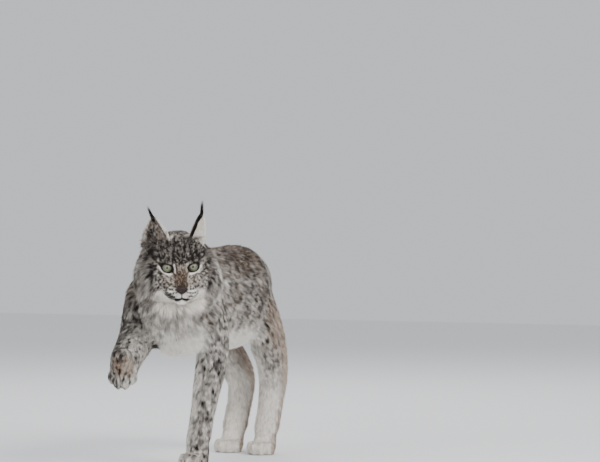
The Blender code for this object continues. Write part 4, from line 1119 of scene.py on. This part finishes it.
def strands(name, base, way, bend, length, width, flat, outward, sections, marksAt, unwrap):
    count = len(base)
    steps = np.linspace(0, 1, sections + 1)
    rows = []
    for s in steps[:-1]:
        middle = base + way * (length * s)[:, None] + bend * s**2
        half = (width * (0.5 * (1 - s) ** 0.75 + 0.02))[:, None]
        rows += [middle - flat * half, middle + flat * half]
    rows.append(base + way * length[:, None] + bend)
    co = np.stack(rows, axis=1)
    co[:, :, 2] = np.maximum(co[:, :, 2], 0.0004)
    each = 2 * sections + 1
    pattern = []
    for k in range(sections - 1):
        pattern += [(2 * k, 2 * k + 3, 2 * k + 1), (2 * k, 2 * k + 2, 2 * k + 3)]
    pattern.append((2 * sections - 2, 2 * sections, 2 * sections - 1))
    faces = (np.arange(count)[:, None, None] * each + np.array(pattern)).reshape(-1, 3)
    mesh = bpy.data.meshes.new(name)
    mesh.vertices.add(count * each)
    mesh.vertices.foreach_set("co", co.astype(np.float32).ravel())
    mesh.loops.add(faces.size)
    mesh.loops.foreach_set("vertex_index", faces.astype(np.int32).ravel())
    mesh.polygons.add(len(faces))
    mesh.polygons.foreach_set("loop_start", np.arange(len(faces), dtype=np.int32) * 3)
    mesh.update(calc_edges=True)
    shadeSmooth(mesh)
    lean = unit(np.cross(way, flat) * 0.5 + outward)  # the light falls on the coat as on one soft surface
    mesh.normals_split_custom_set_from_vertices(np.repeat(lean, each, axis=0))
    along = np.repeat(steps[:-1], 2).tolist() + [1.0]
    strand = np.zeros((count, each, 3))
    strand[:, :, 0] = along
    strand[:, :, 1] = draw.random(count)[:, None]
    setVector(mesh, "strand", strand.reshape(-1, 3))
    setVector(mesh, "marks", np.repeat(marksAt, each, axis=0))
    patch = np.zeros((each, 2))
    patch[:, 0] = [0, 0.003] * sections + [0.0015]
    patch[:, 1] = np.array(along) * 0.003
    uv = (unwrap[:, None, :] * 0.996 + patch[None]).reshape(-1, 2)
    layer = mesh.uv_layers.new(name="OFBake")
    layer.uv.foreach_set("vector", uv[faces.ravel()].astype(np.float32).ravel())
    made = linked(name, mesh)
    mesh.transform(placed)
    mesh.materials.append(furFinish)
    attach(made, "root")
    return made


def growCoat():
    point, normal, flow = roots["point"], roots["normal"], roots["flow"]
    length, lift, width, _ = roots["values"].T
    count = len(point)
    guard, ofGuard = draw.random(count) < coat["guard"]["share"], coat["guard"]  # longer hairs, clear of the locks
    length = length * draw.uniform(*coat["lengths"], count) * np.where(guard, ofGuard["longer"], 1.0)
    lift = np.radians(lift + draw.normal(0, coat["liftSpread"], count) + guard * ofGuard["lift"])
    side = np.cross(normal, flow)
    each, shared, scale = coat["swerve"]
    swerve = draw.normal(0, each, count)[:, None] + shared * noise(point, scale, 11)[:, None]
    way = unit(flow + side * swerve)
    side = np.cross(normal, way)
    way = way * np.cos(lift)[:, None] + normal * np.sin(lift)[:, None]
    bend = -normal * (length * np.sin(lift) * coat["curl"])[:, None]
    bend[:, 2] -= length * coat["droop"]
    tips = point + way * length[:, None] + bend
    pull = np.where(guard, ofGuard["lockPull"], coat["lockPull"]) * step(length, 0.004, 0.014)
    bend = bend + (tips[leaders] - tips) * pull[:, None]
    roll = draw.uniform(-coat["roll"], coat["roll"], count)[:, None]
    flat = side * np.cos(roll) + normal * np.sin(roll)
    base = point - normal * coat["sunk"]

    owner = roots["weight"].argmax(1)
    isEar, lefty = roots["ear"] > 0.5, point[:, 0] > 0.0
    within = {name: (owner == i) & ~isEar for i, name in enumerate(regions)}
    onFace = within["head"] & (roots["head"][:, 0] > coat["faceStarts"])
    parts = {"coatEars": isEar, "coatFace": onFace, "coatCrown": within["head"] & ~onFace,
             "coatNeckLeft": within["neck"] & lefty, "coatNeckRight": within["neck"] & ~lefty,
             "coatFlankLeft": within["torso"] & lefty, "coatFlankRight": within["torso"] & ~lefty,
             "coatForelegLeft": within["foreLeft"], "coatForelegRight": within["foreRight"],
             "coatHindlegLeft": within["hindLeft"], "coatHindlegRight": within["hindRight"],
             "coatTail": within["tail"]}
    turn = np.arctan2(roots["turn"][:, 1], roots["turn"][:, 0]) / (2 * math.pi) + 0.5
    total = 0
    for name, chosen in parts.items():
        u, v = turn[chosen], roots["place"][chosen]
        v = (v - v.min()) / (v.max() - v.min() + 1e-6)
        if name.endswith(("Left", "Right")) and "leg" not in name:
            u = (u - u.min()) / (u.max() - u.min() + 1e-6)
        piece = strands(name, base[chosen], way[chosen], bend[chosen], length[chosen], width[chosen], flat[chosen],
                        normal[chosen], 2, rootMarks[chosen], np.stack([u, v], axis=1))
        total += len(piece.data.polygons)
        print("   %-18s %7d triangles" % (name, len(piece.data.polygons)))
    report("coat of %d triangles" % total)


growCoat()


# Eyes: a ball with a raised clear cornea, turned towards the camera

view = {"azimuth": 20, "elevation": 2.5, "distance": 15.0, "aimRight": 0.2995, "aimUp": 0.091, "lens": 360}
turned, raised = math.radians(view["azimuth"]), math.radians(view["elevation"])
towardCamera = Vector((math.sin(turned) * math.cos(raised), -math.cos(turned) * math.cos(raised), math.sin(raised)))

eye = {
    "iris": 0.0122, "pupil": 0.0024, "cornea": 0.001,
    "inner": tone(114, 114, 92), "outer": tone(88, 91, 74), "rim": tone(22, 18, 14), "pupilColour": tone(3, 3, 3),
    "white": tone(16, 13, 11),
}


def irisNodes(start):
    spot = start.painted("iris")
    out, x, y = (spot.part(k) for k in range(3))
    ray = start.node("CombineXYZ", None, {0: x * 22, 1: y * 22, 2: out * 1.6})
    fibres = start.grain(1.0, 3, ray)
    edge = eye["pupil"] / eye["iris"]
    colour = out.between(edge, 0.86).over(eye["inner"], eye["outer"])
    colour = colour.shaded(0.62 + fibres * 0.72)
    colour = (out.between(0.84, 1.0) * 0.92).over(colour, eye["rim"])
    colour = out.between(1.01, 1.05).over(colour, eye["white"])
    colour = (1 - out.between(edge - 0.02, edge + 0.02)).over(colour, eye["pupilColour"])
    return {"Base Color": colour, "Roughness": 0.4, "Coat Weight": 0.7, "Coat Roughness": 0.02, "Coat IOR": 1.38,
            "Specular IOR Level": 0.2}


def makeEye(side, finishing):
    gaze = (toHead.to_3x3() @ towardCamera).normalized()
    turn = gaze.to_track_quat("Z", "Y").to_matrix().to_4x4()
    made = ball(eyePlaces[side], (head["eyeRadius"],) * 3, turn, 96, 96)
    across, upward = turn.to_3x3() @ Vector((1, 0, 0)), turn.to_3x3() @ Vector((0, 1, 0))
    spots = []
    for vert in made.data.vertices:
        off = vert.co - eyePlaces[side]
        x, y = off.dot(across), off.dot(upward)
        reach = math.hypot(x, y)
        r = reach if off.dot(gaze) > 0 else head["eyeRadius"] * 2
        vert.co += gaze * eye["cornea"] * max(0, 1 - (r / eye["iris"]) ** 2)
        spots.append((r / eye["iris"], x / (reach + 1e-9), y / (reach + 1e-9)))
    setVector(made.data, "iris", np.array(spots))
    made.data.transform(placed @ head["place"])
    shadeSmooth(made.data)
    made.data.materials.append(finishing)
    made.name = made.data.name = "eye" + side.capitalize()
    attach(made, "root")
    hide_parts("eye_" + side)
    return made


eyeFinish = finish("iris", irisNodes)
for side in ("left", "right"):
    makeEye(side, eyeFinish)
report("eyes")


# The nose's leather, with its nostrils and the groove down to the lip

nose = {
    "colour": tone(20, 14, 13), "bloom": tone(58, 39, 33),
    "lumps": (((0.055, 0, -0.037), (0.0082, 0.012, 0.0074)), ((0.0525, 0.0088, -0.0395), (0.0085, 0.006, 0.0062)),
              ((0.0535, 0, -0.0458), (0.0072, 0.0076, 0.006)), ((0.0495, 0, -0.05), (0.0078, 0.0034, 0.0044))),
    "nostril": (  # out of the face, left, up, radius, as for the groove
        (0.064, 0.0046, -0.0428, 0.0016), (0.0622, 0.0062, -0.042, 0.0025), (0.0602, 0.0088, -0.041, 0.0019),
        (0.0565, 0.0118, -0.0416, 0.0012), (0.052, 0.0146, -0.0436, 0.0008)),
    "groove": ((0.064, 0, -0.0415, 0.0004), (0.0618, 0, -0.046, 0.0007), (0.059, 0, -0.056, 0.0008)),
}


def noseNodes(start):
    pebbles = start.node("TexVoronoi", None, {"Vector": start.node("TexCoord", None, None, "Object"), "Scale": 750.0})
    return {"Base Color": (start.grain(260) * 0.7).over(nose["colour"], nose["bloom"]), "Roughness": 0.46,
            "Specular IOR Level": 0.3, "Normal": start.bump(1 - pebbles, 0.7, 0.0006)}


def makeNose():
    lumps = []
    for (out, left, up), (deep, wide, high) in nose["lumps"]:
        for sign in ((1, -1) if left else (1,)):
            lumps.append(ball(headPoint(out, sign * left, up), (wide, deep, high), None, 32, 24))
    made = melted("noseLeather", lumps, 0.00055, 5)
    for sign, line, count in ((1, "nostril", 12), (-1, "nostril", 12), (1, "groove", 8)):
        path = [headPoint(out, sign * left, up) for out, left, up, _ in nose[line]]
        cut(made, tube(path, [row[3] for row in nose[line]], count))
    made.data.transform(placed @ head["place"])
    shadeSmooth(made.data)
    made.data.materials.append(finish("noseLeather", noseNodes))
    made.name = made.data.name = "noseLeather"
    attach(made, "root")
    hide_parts("nose")
    return made


makeNose()
report("nose")


# Black tufts on the ears' tips, and whiskers

def earTuft(side):
    _, tip, along, opens, _ = earWays[side]
    tuft, count = ears["tuft"], ears["tuft"]["hairs"]
    spread = draw.normal(0, 1, (count, 3)) * tuft["spread"]
    root = tip - along * draw.uniform(0.0, tuft["roots"], count)[:, None] + spread
    lean = headVector(*(np.array(v) for v in ears["tuftLeans"][side]))
    way = unit(lean * 0.9 + along * 0.3 + draw.normal(0, tuft["fray"], (count, 3)))
    length = tuft["length"] * draw.uniform(0.35, 1.0, count) ** 0.8
    bend = opens * -0.003 - spread * 0.8
    flat = unit(np.cross(way, draw.normal(0, 1, (count, 3))))
    dark = np.tile((0.97, 0.0, 0.1), (count, 1))
    return strands("earTuft" + side.capitalize(), root, way, bend, length, np.full(count, tuft["width"]), flat,
                   np.cross(way, flat), 3, dark, draw.random((count, 2)))


for side in ("left", "right"):
    earTuft(side)

whiskers = {
    "each": 13, "rows": 4, "length": (0.03, 0.052), "radius": 0.0003, "point": 0.00004,
    "first": (0.015, -0.0478), "apart": (0.005, -0.0044),
    "colour": tone(232, 228, 220), "shade": tone(150, 142, 132),
}


def whiskerNodes(start):
    return {"Base Color": (start.grain(90) * 0.5).over(whiskers["colour"], whiskers["shade"]), "Roughness": 0.45}


def makeWhiskers():
    tree, made, along = meshTree(skin.data, toHead), [], np.linspace(0, 1, 11)
    (x0, z0), (dx, dz) = whiskers["first"], whiskers["apart"]
    for side in (1, -1):
        for k in range(whiskers["each"]):
            row, column = k % whiskers["rows"], k // whiskers["rows"]
            x = x0 + dx * column + draw.normal(0, 0.0005)
            z = z0 + dz * row + 0.0012 * column + draw.normal(0, 0.0005)
            hit = tree.ray_cast(headPoint(0.12, side * x, z), headPoint(-1, 0, 0))[0]
            length = draw.uniform(*whiskers["length"])
            up = 0.06 - 0.2 * row + draw.normal(0, 0.06)
            way = headPoint(-0.12 - 0.12 * column, side * 0.8, up).normalized()
            droop = headPoint(-0.4, -side * 0.25, -0.4)
            path = [hit + way * length * t + droop * length * t * t * 0.6 for t in along]
            made.append(tube(path, [whiskers["radius"] * (1 - t) ** 0.8 + whiskers["point"] for t in along], 5))
    gathered = joined("whiskers", made)
    gathered.data.transform(placed @ head["place"])
    gathered.data.materials.append(finish("whisker", whiskerNodes))
    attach(gathered, "root")


makeWhiskers()
report("tufts and whiskers")

skin.data.transform(placed)
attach(skin, "root")
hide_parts(*(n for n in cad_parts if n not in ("eye_left", "eye_right", "nose")))


# Floor, light and camera

ground = {"half": 6.0, "colour": tone(236, 237, 238), "shade": tone(228, 229, 231), "roughness": 0.9}


def floorNodes(start):
    colour = (start.grain(1.2) * 0.6).over(ground["colour"], ground["shade"])
    return {"Base Color": colour, "Roughness": ground["roughness"]}


def makeFloor():
    half = ground["half"]
    corners = [(-half, -half, 0), (half, -half, 0), (half, half, 0), (-half, half, 0)]
    floor = newMesh("floor", corners, [(0, 1, 2, 3)])
    floor.data.materials.append(finish("paleFloor", floorNodes))


lights = {
    "world": (0.95, 0.97, 1.0), "worldStrength": 0.74,
    "areas": (  # place, size and power
        ("key", (2.9, -1.6, 2.7), 1.9, 126), ("fill", (-1.4, -3.0, 1.8), 2.6, 44),
        ("rim", (-0.8, 2.6, 2.6), 2.2, 50), ("catch", (0.2, -3.4, 1.5), 0.3, 10)),
}


def makeLights():
    world = bpy.data.worlds.new("studio")
    bpy.context.scene.world = world
    world.use_nodes = True
    background = world.node_tree.nodes["Background"]
    background.inputs[0].default_value = (*lights["world"], 1)
    background.inputs[1].default_value = lights["worldStrength"]
    for name, place, size, power in lights["areas"]:
        light = bpy.data.lights.new(name, "AREA")
        light.shape, light.size, light.energy = "DISK", size, power
        made = linked(name, light)
        made.location = place
        made.rotation_euler = (Vector((0, 0, 0.35)) - Vector(place)).to_track_quat("-Z", "Y").to_euler()


def makeCamera():
    across = Vector((math.cos(turned), math.sin(turned), 0))
    upward = towardCamera.cross(across)
    aim = (eyeMiddles[0] + eyeMiddles[1]) / 2 + across * view["aimRight"] + upward * view["aimUp"]
    data = bpy.data.cameras.new("camera")
    data.lens, data.sensor_width = view["lens"], 36
    data.clip_end = 100
    camera = linked("camera", data)
    camera.location = aim + towardCamera * view["distance"]
    camera.rotation_euler = towardCamera.to_track_quat("Z", "Y").to_euler()
    bpy.context.scene.camera = camera


makeFloor()
makeLights()
makeCamera()
report("floor, lights and camera")
